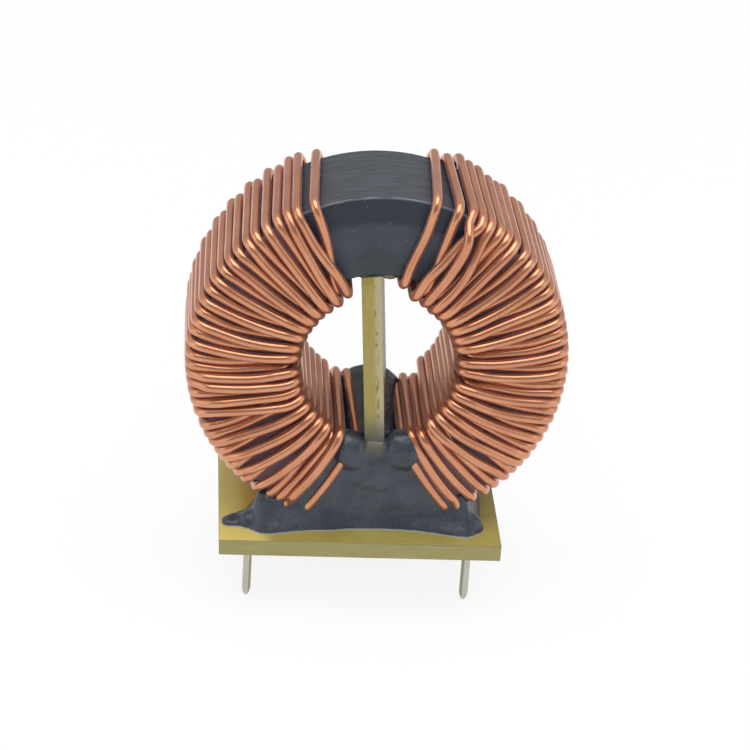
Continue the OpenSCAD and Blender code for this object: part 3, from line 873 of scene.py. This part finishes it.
def sweep(name, path, radius):
    count, sides = len(path), WIRE_SIDES
    ahead = np.diff(path, axis=0)
    ahead /= np.linalg.norm(ahead, axis=1)[:, None]
    along = np.vstack([ahead[:1], ahead[:-1] + ahead[1:], ahead[-1:]])
    along /= np.linalg.norm(along, axis=1)[:, None]
    out = unit(np.cross(along[0], FIRST_SIDE))
    angles = 2 * math.pi * np.arange(sides) / sides
    rings = []
    for k in range(count):
        out = unit(out - (out @ along[k]) * along[k])
        over = np.cross(along[k], out)
        rings.append(path[k] + radius * (np.cos(angles)[:, None] * out
                                         + np.sin(angles)[:, None] * over))
    k = np.arange(count - 1)[:, None] * sides
    i = np.arange(sides)[None, :]
    after = (i + 1) % sides
    faces = np.stack([k + i, k + after, k + sides + after, k + sides + i], -1).reshape(-1, 4)
    ends = [list(range(sides))[::-1], list(range((count - 1) * sides, count * sides))]
    piece = mesh_object(name, np.vstack(rings), faces.tolist() + ends)
    piece.data.shade_smooth()
    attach(piece, "root")
    return piece


# %% [markdown]
# ## Enamelled copper
#
# Magnet wire is bright copper under a thin, clear, slightly orange lacquer. The metal gives the
# colour, the coat a second, softer gloss, and a little sheen the rosy light along the edges of
# each wire. Slow drifts of tone and fine scuffs come from winding it by hand. The mesh is a hair
# thicker than the wire, so that its flat sides don't lose width.

# %% Copper finish and the two windings
SWEPT_EXTRA = 0.005
enamel = Finish("enamelled_copper", Metallic=0.88, IOR=1.5, Coat_Weight=0.15, Coat_Roughness=0.25,
                Coat_IOR=1.5, Sheen_Weight=0.45, Sheen_Roughness=0.45,
                Sheen_Tint=(0.72, 0.4, 0.42))
drift = enamel.band(enamel.noise(enamel.place(), 0.35, detail=3.0), 0.3, 0.7)
scuff = enamel.noise(enamel.place(), 2.4, detail=4.0, roughness=0.65)
tone = enamel.mix(drift, srgb(198, 136, 103), srgb(211, 149, 112))
scuffed = enamel.mix(enamel.band(scuff, 0.55, 0.85) * 0.35, tone, srgb(190, 120, 88))
enamel.feed(Base_Color=scuffed, Roughness=scuff * 0.10 + 0.19)
enamel.bump(scuff, 0.004)


def wind(side, name, node):
    path = relaxed(smooth_path(winding_points(side)))
    winding = sweep(name, path, WIRE_R + SWEPT_EXTRA)
    winding.data.materials.append(enamel.material)
    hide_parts(node)
    print(name, "points:", len(path), "faces:", len(winding.data.polygons))


wind(LEFT, "left_winding", "winding_left")
wind(RIGHT, "right_winding", "winding_right")

# %% [markdown]
# ## Epoxy coat and ferrite
#
# The ring was dipped or sprayed, so its coat is a dark slate grey with a satin surface. Fine
# streaks run round the outside, and small specks of dust lie on it. The faces are darker near the
# outer edge, whose corner carries a painted highlight as a thin pale line, and where copper
# covers them a painted plum glow stands for the light the wire throws on them. A smear of
# adhesive darkens the face above the divider.

# %% Coat
GLUE_PATCH = (0.2, -5.55, 27.5)
BAND_R = (RING_R - 2.5, RING_R - 1.6)
RIM_HIGHLIGHT_R = (RING_R - 0.07, RING_R - 0.04)
RIM_HIGHLIGHT_Y = (0.03 - RING_H / 2, 0.01 - RING_H / 2)
COPPER_ANGLE = (0.48, 0.62)  # in radians from the top of the ring, where the turns begin

coat = Finish("epoxy_coat", Specular_IOR_Level=0.5)
outside = 1 - coat.band(abs(coat.normal()[1]), 0.3, 0.8)
streaks = coat.noise(coat.place(scale=(0.25, 3.0, 0.25)), 1.6, detail=4.0, roughness=0.6)
cloud = coat.noise(coat.place(), 0.45)
dust = coat.band(coat.noise(coat.place(), 4.6, detail=0.0), 0.83, 0.88)
glue_reach = coat.reach(coat.place(centre=GLUE_PATCH, scale=(1.0, 0.4, 1.25)))
glue = coat.band(glue_reach + cloud * 1.6 - 0.8, 2.3, 1.5)

from_axis = coat.reach(coat.place(centre=tuple(RING), scale=(1, 0, 1)))
upper_band = coat.band(from_axis + cloud * 0.8, *BAND_R) * 0.75
slate = coat.mix(cloud, srgb(39, 46, 55), srgb(50, 57, 66))
face_tone = coat.mix(upper_band, slate, srgb(3, 12, 33))
turn_x, _, turn_z = coat.parts(coat.place(centre=tuple(RING)))
# Painted reflected light: the coat under the windings is lifted to plum, as if lit by the copper.
painted_copper_glow = coat.band(abs(turn_x).math("ARCTAN2", turn_z), *COPPER_ANGLE) * 0.75
face_with_copper_glow = coat.mix(painted_copper_glow, face_tone, srgb(134, 106, 118))

outer_tone = coat.mix(coat.band(streaks, 0.3, 0.7), srgb(46, 51, 58), srgb(68, 72, 79))
clean = coat.mix(outside, face_with_copper_glow, outer_tone)
smeared = coat.mix(glue * 0.45, clean, srgb(22, 25, 29))
dusty = coat.mix(dust * 0.18, smeared, srgb(150, 155, 160))
front_y = coat.parts(coat.place())[1]
# Painted highlight: a thin pale line along the front corner of the outer edge.
painted_rim_highlight = (coat.band(streaks, 0.38, 0.52) * coat.band(from_axis, *RIM_HIGHLIGHT_R)
        * coat.band(front_y, *RIM_HIGHLIGHT_Y) * 0.4)
coat.feed(Base_Color=coat.mix(painted_rim_highlight, dusty, srgb(136, 141, 148)),
          Roughness=streaks * 0.22 + 0.36 - glue * 0.14)
coat.bump(streaks * 0.9 + cloud * 0.3 + glue * 0.4, 0.07)
dress("core_coating", coat)
print("coat nodes:", len(coat.tree.nodes))

# %% [markdown]
# The coat closes over the ferrite, so none of it shows. It is dull, dark and finely porous all the
# same, and right if someone hides the coat to look inside.

# %% Ferrite
ferrite = Finish("ferrite", Roughness=0.7)
pores = ferrite.noise(ferrite.place(), 6.0)
ferrite.feed(Base_Color=ferrite.mix(pores, srgb(34, 34, 36), srgb(50, 50, 53)))
dress("ferrite_core", ferrite)
print("ferrite nodes:", len(ferrite.tree.nodes))

# %% [markdown]
# ## Glass-epoxy board
#
# Bare laminate is olive yellow and slightly cloudy. Its faces are smooth, and its sawn edges are
# paler and duller and show the layers of glass cloth as fine lines. The divider is a strip of the
# same stuff, only a little paler, so both finishes come from one function.

# %% Laminate
def laminate(name, face_low, face_high, edge_colour, lines_axis):
    """Laminate whose layers are stacked along lines_axis, 0 for X and 2 for Z."""
    made = Finish(name, IOR=1.5)
    edge = 1 - made.band(abs(made.normal()[lines_axis]), 0.5, 0.9)
    cloud = made.noise(made.place(), 0.25, detail=3.0)
    stretch = [0.35, 0.35, 0.35]
    stretch[lines_axis] = 9.0
    layers = made.noise(made.place(scale=tuple(stretch)), 1.0, detail=3.0)
    fibres = made.noise(made.place(), 7.0)
    face = made.mix(made.band(cloud, 0.3, 0.7), face_low, face_high)
    shaded = tuple(0.86 * c for c in edge_colour)
    sawn = made.mix(made.band(layers, 0.35, 0.7), edge_colour, shaded)
    frayed = made.mix(made.band(fibres, 0.55, 0.8) * 0.3, sawn, srgb(190, 182, 128))
    made.feed(Base_Color=made.mix(edge, face, frayed), Roughness=edge * 0.25 + 0.36 + fibres * 0.1)
    made.bump(edge * layers * 0.8 + fibres * 0.2, 0.02)
    return made


base = laminate("board_laminate", srgb(146, 132, 64), srgb(158, 146, 78), srgb(142, 133, 84), 2)
dress("base_board", base)
strip = laminate("divider_laminate", srgb(150, 138, 74), srgb(160, 148, 80), srgb(148, 136, 78), 0)
strip.feed(Specular_IOR_Level=0.25)
dress("divider_board", strip)
print("laminate nodes:", len(base.tree.nodes), "and", len(strip.tree.nodes))

# %% [markdown]
# Painted light brightens the left end of the board's top, where the winding's shadow falls.
# Soldering leaves an amber stain beside the adhesive, and a thin darker line runs just under the
# upper edge.

# %% Stain, painted light and a dark line on the base board
base_x, base_y, base_z = base.parts(base.place())
stain_noise = base.noise(base.place(), 0.5, detail=3.0)
on_top = base.band(base_z, BOARD_TOP - 0.1, BOARD_TOP - 0.02)
left_end = base.band(base_x, -7.6, -9.4) * on_top
# Painted light: the left end of the top is brightened where the winding's shadow falls.
painted_lit_left_end = base.mix(left_end * 0.85, base.colour(), srgb(206, 186, 106))
by_glue = base.band(base_x + stain_noise * 1.2, -10.4, -9.6) * base.band(base_y, -5.4, -4.4)
amber_end = base.mix(by_glue * left_end * 0.55, painted_lit_left_end, srgb(196, 156, 46))
# A thin darker line just under the upper edge, on the board's sides.
under_edge_line = base.band(abs(base_z - (BOARD_TOP - 0.08)), 0.09, 0.03) * (1 - on_top)
base.feed(Base_Color=base.mix(under_edge_line * 0.45, amber_end, srgb(84, 78, 46)))
print("board nodes with stains:", len(base.tree.nodes))

# %% [markdown]
# The divider's right side face is painted lighter, as if lit, and the right third of its front
# edge is painted paler, as the lit side of a strip turned further than its solid. A row of pits
# runs where the two meet. Its upper end is amber, and where the adhesive has crept up its foot
# the yellow fades to black. The marks follow the strip, which leans a little.

# %% Painted light, pits and smears on the divider
STRIP_TURN = (0.0, math.radians(4.4), math.radians(4.0))
across, _, up = strip.parts(strip.place(turn=STRIP_TURN, centre=tuple(RING)))
smear_noise = strip.noise(strip.place(), 0.9, detail=3.0)
# Painted light: the divider's right side face is lightened as if lit.
right_side = strip.band(strip.normal()[0], 0.6, 0.9)
painted_lit_side = strip.mix(right_side * 0.85, strip.colour(), srgb(206, 202, 178))
# Painted light: the right third of the front edge is paler, as the lit side of a turned strip.
pale = strip.band(across + smear_noise * 0.4, 0.2, 0.6)
painted_pale_edge = strip.mix(pale * 0.55, painted_lit_side, srgb(172, 166, 140))
pits = strip.band(strip.noise(strip.place(scale=(1, 1, 0.6)), 2.2), 0.52, 0.64)
row = strip.band(across, 0.12, 0.24) * strip.band(across, 0.5, 0.36)
pitted = strip.mix(pits * row * 0.7, painted_pale_edge, srgb(96, 88, 56))
amber = strip.band(up + smear_noise * 1.2, 7.9, 8.6) * strip.band(across, 0.3, 0.1)
topped = strip.mix(amber * 0.5, pitted, srgb(132, 114, 38))
foot = strip.band(up + smear_noise * 1.2, -3.4, -8.2)
strip.feed(Base_Color=strip.mix(foot, topped, srgb(60, 66, 74)))
print("divider nodes with bands:", len(strip.tree.nodes))

# %% [markdown]
# ## Pins and solder
#
# The pins are square tinned wire. The tin is pale and rather dull, with fine marks of the drawing
# die along it, and painted shade darkens the sides that face the middle of the part. The solder is
# the same metal, frosted where it cooled.

# %% Tin
INNER_SHADE_X = (9.88, 9.78)
ROWS, ENDS = ("front", "rear"), {"left": LEFT, "right": RIGHT}

tin = Finish("tin_plate", Metallic=1.0)
die_marks = tin.noise(tin.place(scale=(4.0, 4.0, 0.2)), 2.0, detail=3.0)
bright_tin = tin.mix(die_marks, srgb(178, 174, 160), srgb(208, 205, 194))
# Painted shade: the sides of each pin that face the middle of the part are darker.
painted_inner_shade = tin.band(abs(tin.parts(tin.place())[0]), *INNER_SHADE_X) * 0.75
tin.feed(Base_Color=tin.mix(painted_inner_shade, bright_tin, srgb(128, 124, 108)),
         Roughness=die_marks * 0.2 + 0.3)
tin.bump(die_marks, 0.01)

solder = Finish("solder", Metallic=1.0)
frost = solder.noise(solder.place(), 5.0, detail=3.0)
solder.feed(Base_Color=solder.mix(frost, srgb(168, 168, 164), srgb(196, 196, 192)),
            Roughness=frost * 0.2 + 0.34)
for row in ROWS:
    for end in ENDS:
        dress(f"pin_{row}_{end}", tin)
        dress(f"solder_{row}_{end}", solder)
print("pins and joints dressed:", 2 * len(ROWS) * len(ENDS))

# %% [markdown]
# The cutting die rounds the corners of the wire and leaves a blunt, rounded end. Each pin is
# therefore made again as a stack of rounded squares, which get smaller over the last millimetre
# below and a third of one above, in the place and the turn of its solid. The heads of the front
# pins sit lower, inside the adhesive.

# %% Rounded pins
PIN_HALF = 0.36
PIN_TURN = math.radians(14)
PIN_ROUND = 0.22
PIN_TIP, PIN_HEAD = 1.0, 0.35
HEAD_DROP = {"front": 0.4, "rear": 0}
CORNER_STEPS = 5
TAPER = [math.radians(a) for a in (8, 20, 35, 50, 65, 80, 90)]


def rounded_square(half, corner):
    ring = []
    inset = (half - corner) * math.sqrt(2)
    for quarter in range(4):
        centre = math.pi / 2 * quarter + math.pi / 4
        for k in range(CORNER_STEPS):
            a = math.pi / 2 * (quarter + k / (CORNER_STEPS - 1))
            ring.append((inset * math.cos(centre) + corner * math.cos(a),
                         inset * math.sin(centre) + corner * math.sin(a)))
    return ring


def round_pin(node, head_drop, turn):
    low, high = box_mm(node)
    middle = (low + high) / 2
    head = high.z - head_drop
    levels = [(low.z + PIN_TIP * (1 - math.cos(a)), math.sin(a)) for a in TAPER]
    levels += [(head - PIN_HEAD * (1 - math.cos(a)), math.sin(a)) for a in reversed(TAPER)]
    turned = Matrix.Rotation(turn, 3, "Z")
    square = rounded_square(PIN_HALF, PIN_ROUND)
    points = [middle.xy.to_3d() + turned @ Vector((x * share, y * share, 0)) + Vector((0, 0, z))
              for z, share in levels for x, y in square]
    count = len(square)
    faces = [list(range(count))[::-1], [len(points) - count + i for i in range(count)]]
    for k in range(0, len(points) - count, count):
        for i in range(count):
            j = (i + 1) % count
            faces.append([k + i, k + j, k + count + j, k + count + i])
    pin = mesh_object("rounded_" + node, points, faces)
    pin.data.shade_smooth()
    pin.data.materials.append(tin.material)
    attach(pin, "root")
    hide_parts(node)
    return pin


for row in ROWS:
    for end, side in ENDS.items():
        print(round_pin(f"pin_{row}_{end}", HEAD_DROP[row], side * PIN_TURN).name)

# %% [markdown]
# Solder wets the board, the pin and the end of the wire, so a joint is a hollow cone with a thin
# foot. Each is a profile turned about its own centre and drawn out a little towards the wire.

# %% Solder joints
SOLDER_PROFILE = [(0.86, 0.0), (0.72, 0.05), (0.6, 0.14), (0.52, 0.28),
                  (0.47, 0.46), (0.42, 0.6), (0.34, 0.7), (0.2, 0.75)]
SOLDER_TOP = 0.77
SOLDER_STEPS = 48
SOLDER_STRETCH = 1.12


def solder_joint(node):
    low, high = box_mm(node)
    middle = (low + high) / 2
    points = [(middle.x, middle.y, low.z)]
    for radius, height in SOLDER_PROFILE:
        for k in range(SOLDER_STEPS):
            a = 2 * math.pi * k / SOLDER_STEPS
            points.append((middle.x + radius * math.cos(a),
                           middle.y + SOLDER_STRETCH * radius * math.sin(a), low.z + height))
    points.append((middle.x, middle.y, low.z + SOLDER_TOP))
    faces = []
    for k in range(SOLDER_STEPS):
        j = (k + 1) % SOLDER_STEPS
        faces.append((0, 1 + j, 1 + k))
        for level in range(len(SOLDER_PROFILE) - 1):
            a, b = 1 + level * SOLDER_STEPS, 1 + (level + 1) * SOLDER_STEPS
            faces.append((a + k, a + j, b + j, b + k))
        faces.append((b + k, b + j, len(points) - 1))
    joint = mesh_object("joint_" + node, points, faces)
    joint.data.shade_smooth()
    joint.data.materials.append(solder.material)
    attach(joint, "root")
    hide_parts(node)
    return joint


for row in ROWS:
    for end in ENDS:
        print(solder_joint(f"solder_{row}_{end}").name)

# %% [markdown]
# ## Black adhesive
#
# The adhesive was poured round the foot of the ring while the part stood on its board. It ran to
# a soft outline with a tail at the left, climbed the ring's faces as a film, buried the lowest
# bends of both windings and set round the foot of the divider. It is built from overlapping
# lumps: a field of heights for the pool on the board, thin plates for the films and balls for the
# mounds. The outline comes first, as points that a smooth closed curve runs through.

# %% Outline of the pool
POOL_OUTLINE = [
    (-8.95, -0.15), (-9.4, -1.6), (-9.9, -2.8), (-10.4, -3.9), (-11.2, -4.7), (-12.0, -5.1),
    (-12.5, -5.5), (-12.5, -6.6), (-11.7, -6.8), (-10.8, -6.75), (-9.95, -7.3), (-8.9, -7.95),
    (-7.7, -7.95), (-6.3, -7.55), (-4.5, -7.25), (-2.7, -7.05), (-0.4, -6.8), (2.3, -6.7),
    (4.6, -6.8), (7.2, -7.35), (9.0, -7.7), (10.1, -7.6), (10.8, -6.9), (11.0, -5.8),
    (11.3, -0.4), (11.0, 5.4), (10.4, 6.9), (8.8, 7.4), (5.0, 6.9), (1.0, 6.6),
    (-3.5, 6.8), (-7.6, 7.3), (-9.2, 7.0), (-9.8, 5.6), (-9.35, 2.0)]
OUTLINE_STEPS = 6


def through_points(points):
    """A closed smooth curve through the points."""
    count = len(points)
    ring = []
    for i in range(count):
        a, b, c, d = (np.array(points[(i + k) % count]) for k in (-1, 0, 1, 2))
        for s in range(OUTLINE_STEPS):
            t = s / OUTLINE_STEPS
            ring.append(0.5 * (2 * b + (c - a) * t + (2 * a - 5 * b + 4 * c - d) * t ** 2
                               + (3 * b - 3 * c + d - a) * t ** 3))
    return np.array(ring)


def inside_distance(points, outline):
    """Distance of each point from the outline, negative outside it."""
    start, end = outline, np.roll(outline, -1, axis=0)
    v, w = end - start, points[:, None, :] - start[None]
    t = np.clip((w * v).sum(-1) / (v * v).sum(-1), 0, 1)
    apart = np.linalg.norm(w - t[..., None] * v, axis=-1).min(axis=1)
    above = (start[:, 1] > points[:, 1:2]) != (end[:, 1] > points[:, 1:2])
    with np.errstate(divide="ignore", invalid="ignore"):
        cross_x = start[:, 0] + (points[:, 1:2] - start[:, 1]) * v[:, 0] / v[:, 1]
    inside = (above & (points[:, 0:1] < cross_x)).sum(axis=1) % 2 == 1
    return np.where(inside, apart, -apart)


# %% [markdown]
# The pool has a round edge, like any thick liquid, and behind that edge it climbs to a shoulder
# against the ring. How high and how far behind changes from left to right, so both are read from
# a list. Outside the outline the field dips under the board's surface, where nothing shows it.

# %% Pool on the board
POOL_EDGE = 0.45
POOL_STEP = 0.15
POOL_BED = BOARD_TOP - 0.3
POOL_DIP, POOL_FLOOR = 2.2, POOL_BED + 0.05
SHOULDER_CURVE = 1.5
SHOULDERS = [  # x, height above the pins' board and width of the climb
    (-12.4, 2.15, 0.9), (-11.5, 2.2, 0.9), (-10.4, 2.45, 1.0), (-9.8, 3.0, 1.2),
    (-9.3, 4.8, 1.7), (-8.6, 4.8, 1.8), (-8.0, 4.2, 1.8), (-7.4, 4.5, 1.7), (-6.9, 4.5, 1.6),
    (-4.9, 4.0, 1.2), (-3.0, 3.8, 1.0), (1.3, 3.7, 0.8), (5.0, 3.8, 0.9), (7.4, 4.0, 1.3),
    (8.2, 4.2, 1.6), (8.9, 5.0, 1.7), (10.3, 5.0, 1.5), (11.2, 3.0, 1.0)]
shoulder_x, shoulder_z, shoulder_width = zip(*SHOULDERS)

grid_x, grid_y = np.meshgrid(np.arange(-12.6, 12.6, POOL_STEP), np.arange(-8.7, 8.0, POOL_STEP),
                             indexing="ij")
places = np.stack([grid_x.ravel(), grid_y.ravel()], -1)
depth = inside_distance(places, through_points(POOL_OUTLINE)).reshape(grid_x.shape)
round_edge = POOL_EDGE * np.sqrt(1 - (1 - np.clip(depth / POOL_EDGE, 0, 1)) ** 2)
climb = np.clip(depth / np.interp(grid_x, shoulder_x, shoulder_width), 0, 1) ** SHOULDER_CURVE
shoulder = np.interp(grid_x, shoulder_x, shoulder_z) - BOARD_TOP - POOL_EDGE
pool_z = np.where(depth > 0, BOARD_TOP + round_edge + climb * shoulder,
                  np.maximum(BOARD_TOP + POOL_DIP * depth, POOL_FLOOR))


def field_solid(name, heights):
    """A closed solid under a grid of heights."""
    nx, ny = heights.shape
    top = np.stack([grid_x, grid_y, heights], -1).reshape(-1, 3)
    bottom = top.copy()
    bottom[:, 2] = POOL_BED
    index = np.arange(nx * ny).reshape(nx, ny)
    a, b, c, d = index[:-1, :-1], index[1:, :-1], index[1:, 1:], index[:-1, 1:]
    upper = np.stack([a, b, c, d], -1).reshape(-1, 4)
    lower = upper[:, ::-1] + nx * ny
    rim = np.concatenate([index[:, 0], index[-1, 1:], index[-2::-1, -1], index[0, -2:0:-1]])
    after = np.roll(rim, -1)
    wall = np.stack([rim, rim + nx * ny, after + nx * ny, after], -1)
    return mesh_object(name, np.vstack([top, bottom]), np.vstack([upper, lower, wall]).tolist())


adhesive = field_solid("adhesive_mass", pool_z)
print("pool grid:", grid_x.shape)

# %% [markdown]
# The films on both faces are plates cut to the space between the windings, and the mounds are
# balls: one row of them makes the ramp through the bore, which rises towards the rear, and two
# groups make the swellings on each side of the divider in front.

# %% Films, mounds and lumps
FILM = 0.6
FILM_ROOT = 0.3
RAMP = np.arange(-3.6, 4.5, 0.7)
RAMP_Z, RAMP_RISE = 9.75, 0.22
lumps = []


def lump(x, y, z, rx, ry, rz):
    """A ball with three radii of its own."""
    bpy.ops.mesh.primitive_uv_sphere_add(
        segments=32, ring_count=16, radius=1, location=(x * MM, y * MM, z * MM),
        scale=(rx * MM, ry * MM, rz * MM))
    lumps.append(bpy.context.object)


def plate(outline, y0, y1):
    """A flat plate on a face of the ring, from its outline seen from the front."""
    mesh = bpy.data.meshes.new("plate")
    made = bmesh.new()
    faces = [made.faces.new([made.verts.new((x * MM, y * MM, z * MM)) for x, z in outline])
             for y in (y0, y1)]
    bmesh.ops.bridge_loops(made, edges=[e for f in faces for e in f.edges])
    bmesh.ops.recalc_face_normals(made, faces=made.faces)
    made.to_mesh(mesh)
    made.free()
    solid = bpy.data.objects.new("plate", mesh)
    bpy.context.collection.objects.link(solid)
    lumps.append(solid)


def bore_place(angle, radius=BORE_R):
    """A place on the floor of the bore, seen from the front, 180 degrees at the bottom."""
    a = math.radians(angle)
    return RING.x + radius * math.sin(a), RING.z + radius * math.cos(a)


film_outline = [(-8.2, 2.3), (8.3, 2.3), (9.1, 3.4), bore_place(150.1, 15.6),
                bore_place(154.3, 9.1), *[bore_place(a) for a in range(158, 203, 5)],
                bore_place(202.8, 9.1), bore_place(207.3, 15.6), (-7.9, 3.1)]
plate(film_outline, FRONT_FACE - FILM, FRONT_FACE + FILM_ROOT)
plate(film_outline, REAR_FACE - FILM_ROOT, REAR_FACE + FILM)

foot_x, foot_z = bore_place(180)
lump(foot_x + 0.2, RING.y + 5.3, foot_z + 0.3, 3.1, 1.7, 2.55)  # the mound behind
for y in RAMP:
    lump(foot_x, y, RAMP_Z + RAMP_RISE * y, 2.7, 1.7, 1.5)
lump(1.1, -5.2, 7.3, 3.8, 1.34, 3.0)  # the swelling below the divider
for shift in (-0.5, 0.0, 0.5):
    lump(-1.2 + shift, -5.2, 8.9 - 0.3 * shift, 1.25, 1.6, 2.0)
    lump(3.4 + shift, -5.2, 9.1, 1.35, 1.6, 2.05)
lump(0.9, 5.2, 7.4, 3.4, 1.35, 3.4)  # what blends the mound into the rear film
for x, y, above, rx, ry, rz in [  # what covers the solder, the leads and the pins' heads
        (-9.95, -6.0, 0.1, 1.2, 1.1, 1.15), (10.0, -6.1, 0.1, 1.25, 1.2, 1.5),
        (10.75, -6.25, 0.1, 0.55, 0.5, 0.6), (-9.2, 6.7, 0, 1.2, 1.1, 1.2),
        (9.6, 6.8, 0, 1.2, 1.1, 1.2)]:
    lump(x, y, BOARD_TOP + above, rx, ry, rz)
print("lumps:", len(lumps))

# %% [markdown]
# A voxel remesh makes one skin of all these parts. A few rounds of smoothing give it the rounded
# hollows of a liquid, and a ripple of two sizes the uneven surface that it set with.

# %% One skin
VOXEL = 0.13
SOFTEN_ROUNDS = 26
SWELLS, PITS = (0.09, 0.55), (0.035, 1.7)  # height in millimetres, and how close together
PIT_SHIFT = Vector((7, 3, 1))


def one_skin(solids):
    """Joins closed solids into the first of them and draws one skin over all."""
    bpy.ops.object.select_all(action="DESELECT")
    for solid in solids:
        solid.select_set(True)
    whole = solids[0]
    bpy.context.view_layer.objects.active = whole
    bpy.ops.object.join()
    bpy.ops.object.transform_apply(location=True, rotation=True, scale=True)
    skin = whole.modifiers.new("skin", "REMESH")
    skin.mode = "VOXEL"
    skin.voxel_size = VOXEL * MM
    bpy.ops.object.modifier_apply(modifier="skin")


def ripple(place):
    p = place / MM
    return (SWELLS[0] * noise.noise(p * SWELLS[1])
            + PITS[0] * noise.noise(p * PITS[1] + PIT_SHIFT))


one_skin([adhesive, *lumps])
soften = adhesive.modifiers.new("soften", "SMOOTH")
soften.factor = 0.5
soften.iterations = SOFTEN_ROUNDS
bpy.ops.object.modifier_apply(modifier="soften")
normals = [v.normal.copy() for v in adhesive.data.vertices]
for v, n in zip(adhesive.data.vertices, normals):
    v.co += n * ripple(v.co) * MM
adhesive.data.shade_smooth()
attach(adhesive, "root")
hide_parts("adhesive_bed")
print("adhesive faces:", len(adhesive.data.polygons))

# %% [markdown]
# The adhesive is black with a slate bloom, and glossier where it lies smooth. A painted
# highlight runs as a pale line along its edge just above the board. In front of the divider's foot
# it is so thin that the yellow strip shines through.

# %% Adhesive finish
EDGE_HIGHLIGHT_Z = (BOARD_TOP + 0.19, BOARD_TOP + 0.13)

black = Finish("black_adhesive", Specular_IOR_Level=0.55)
swirl = black.noise(black.place(), 0.5, detail=3.0, roughness=0.55)
grains = black.noise(black.place(), 3.2, detail=3.0)
here_x, here_y, here_z = black.parts(black.place())
bloom = black.mix(black.band(swirl, 0.3, 0.75), srgb(38, 44, 54), srgb(54, 61, 71))
before_strip = black.band(here_x, -0.2, 0.3) * black.band(here_x, 2.0, 1.5)
thin_film = before_strip * black.band(here_y, -3.0, -4.0) * black.band(here_z, 8.2, 10.6)
tinted = black.mix(thin_film * 0.8, bloom, srgb(96, 91, 68))
# Painted highlight: a pale line along the edge of the pool just above the board.
painted_edge_highlight = black.band(here_z + grains * 0.12, *EDGE_HIGHLIGHT_Z) * 0.5
black.feed(Base_Color=black.mix(painted_edge_highlight, tinted, srgb(176, 176, 168)),
           Roughness=black.band(grains, 0.35, 0.75) * 0.2 + 0.26)
black.bump(grains * 0.4 + swirl * 0.6, 0.06)
adhesive.data.materials.clear()
adhesive.data.materials.append(black.material)
print("adhesive nodes:", len(black.tree.nodes))

# %% [markdown]
# The dab that holds the top of the divider is squeezed out along both of its sides. It is two rows
# of small flat lumps under the bore, which become one skin in the same way.

# %% Dab at the top of the divider
DAB_Z = RING.z + BORE_R - 0.12
DAB_LEAN = 0.07  # the rows follow the divider, which is turned a little

lumps = []
for y in np.arange(-4.7, 4.8, 0.9):
    shift = DAB_LEAN * (y + 5.6)
    lump(-1.0 + shift, y, DAB_Z, 0.75, 0.9, 0.4)
    lump(1.2 + shift, y, DAB_Z, 0.85, 0.9, 0.4)
dab = lumps[0]
one_skin(lumps)
dab.name = "divider_dab"
dab.data.shade_smooth()
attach(dab, "root")
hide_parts("adhesive_dab")
dab.data.materials.clear()
dab.data.materials.append(black.material)
print("dab faces:", len(dab.data.polygons))

# %% [markdown]
# ## Close
#
# The visual model has to stay inside the imported one.

# %% Finish
print("scene built")
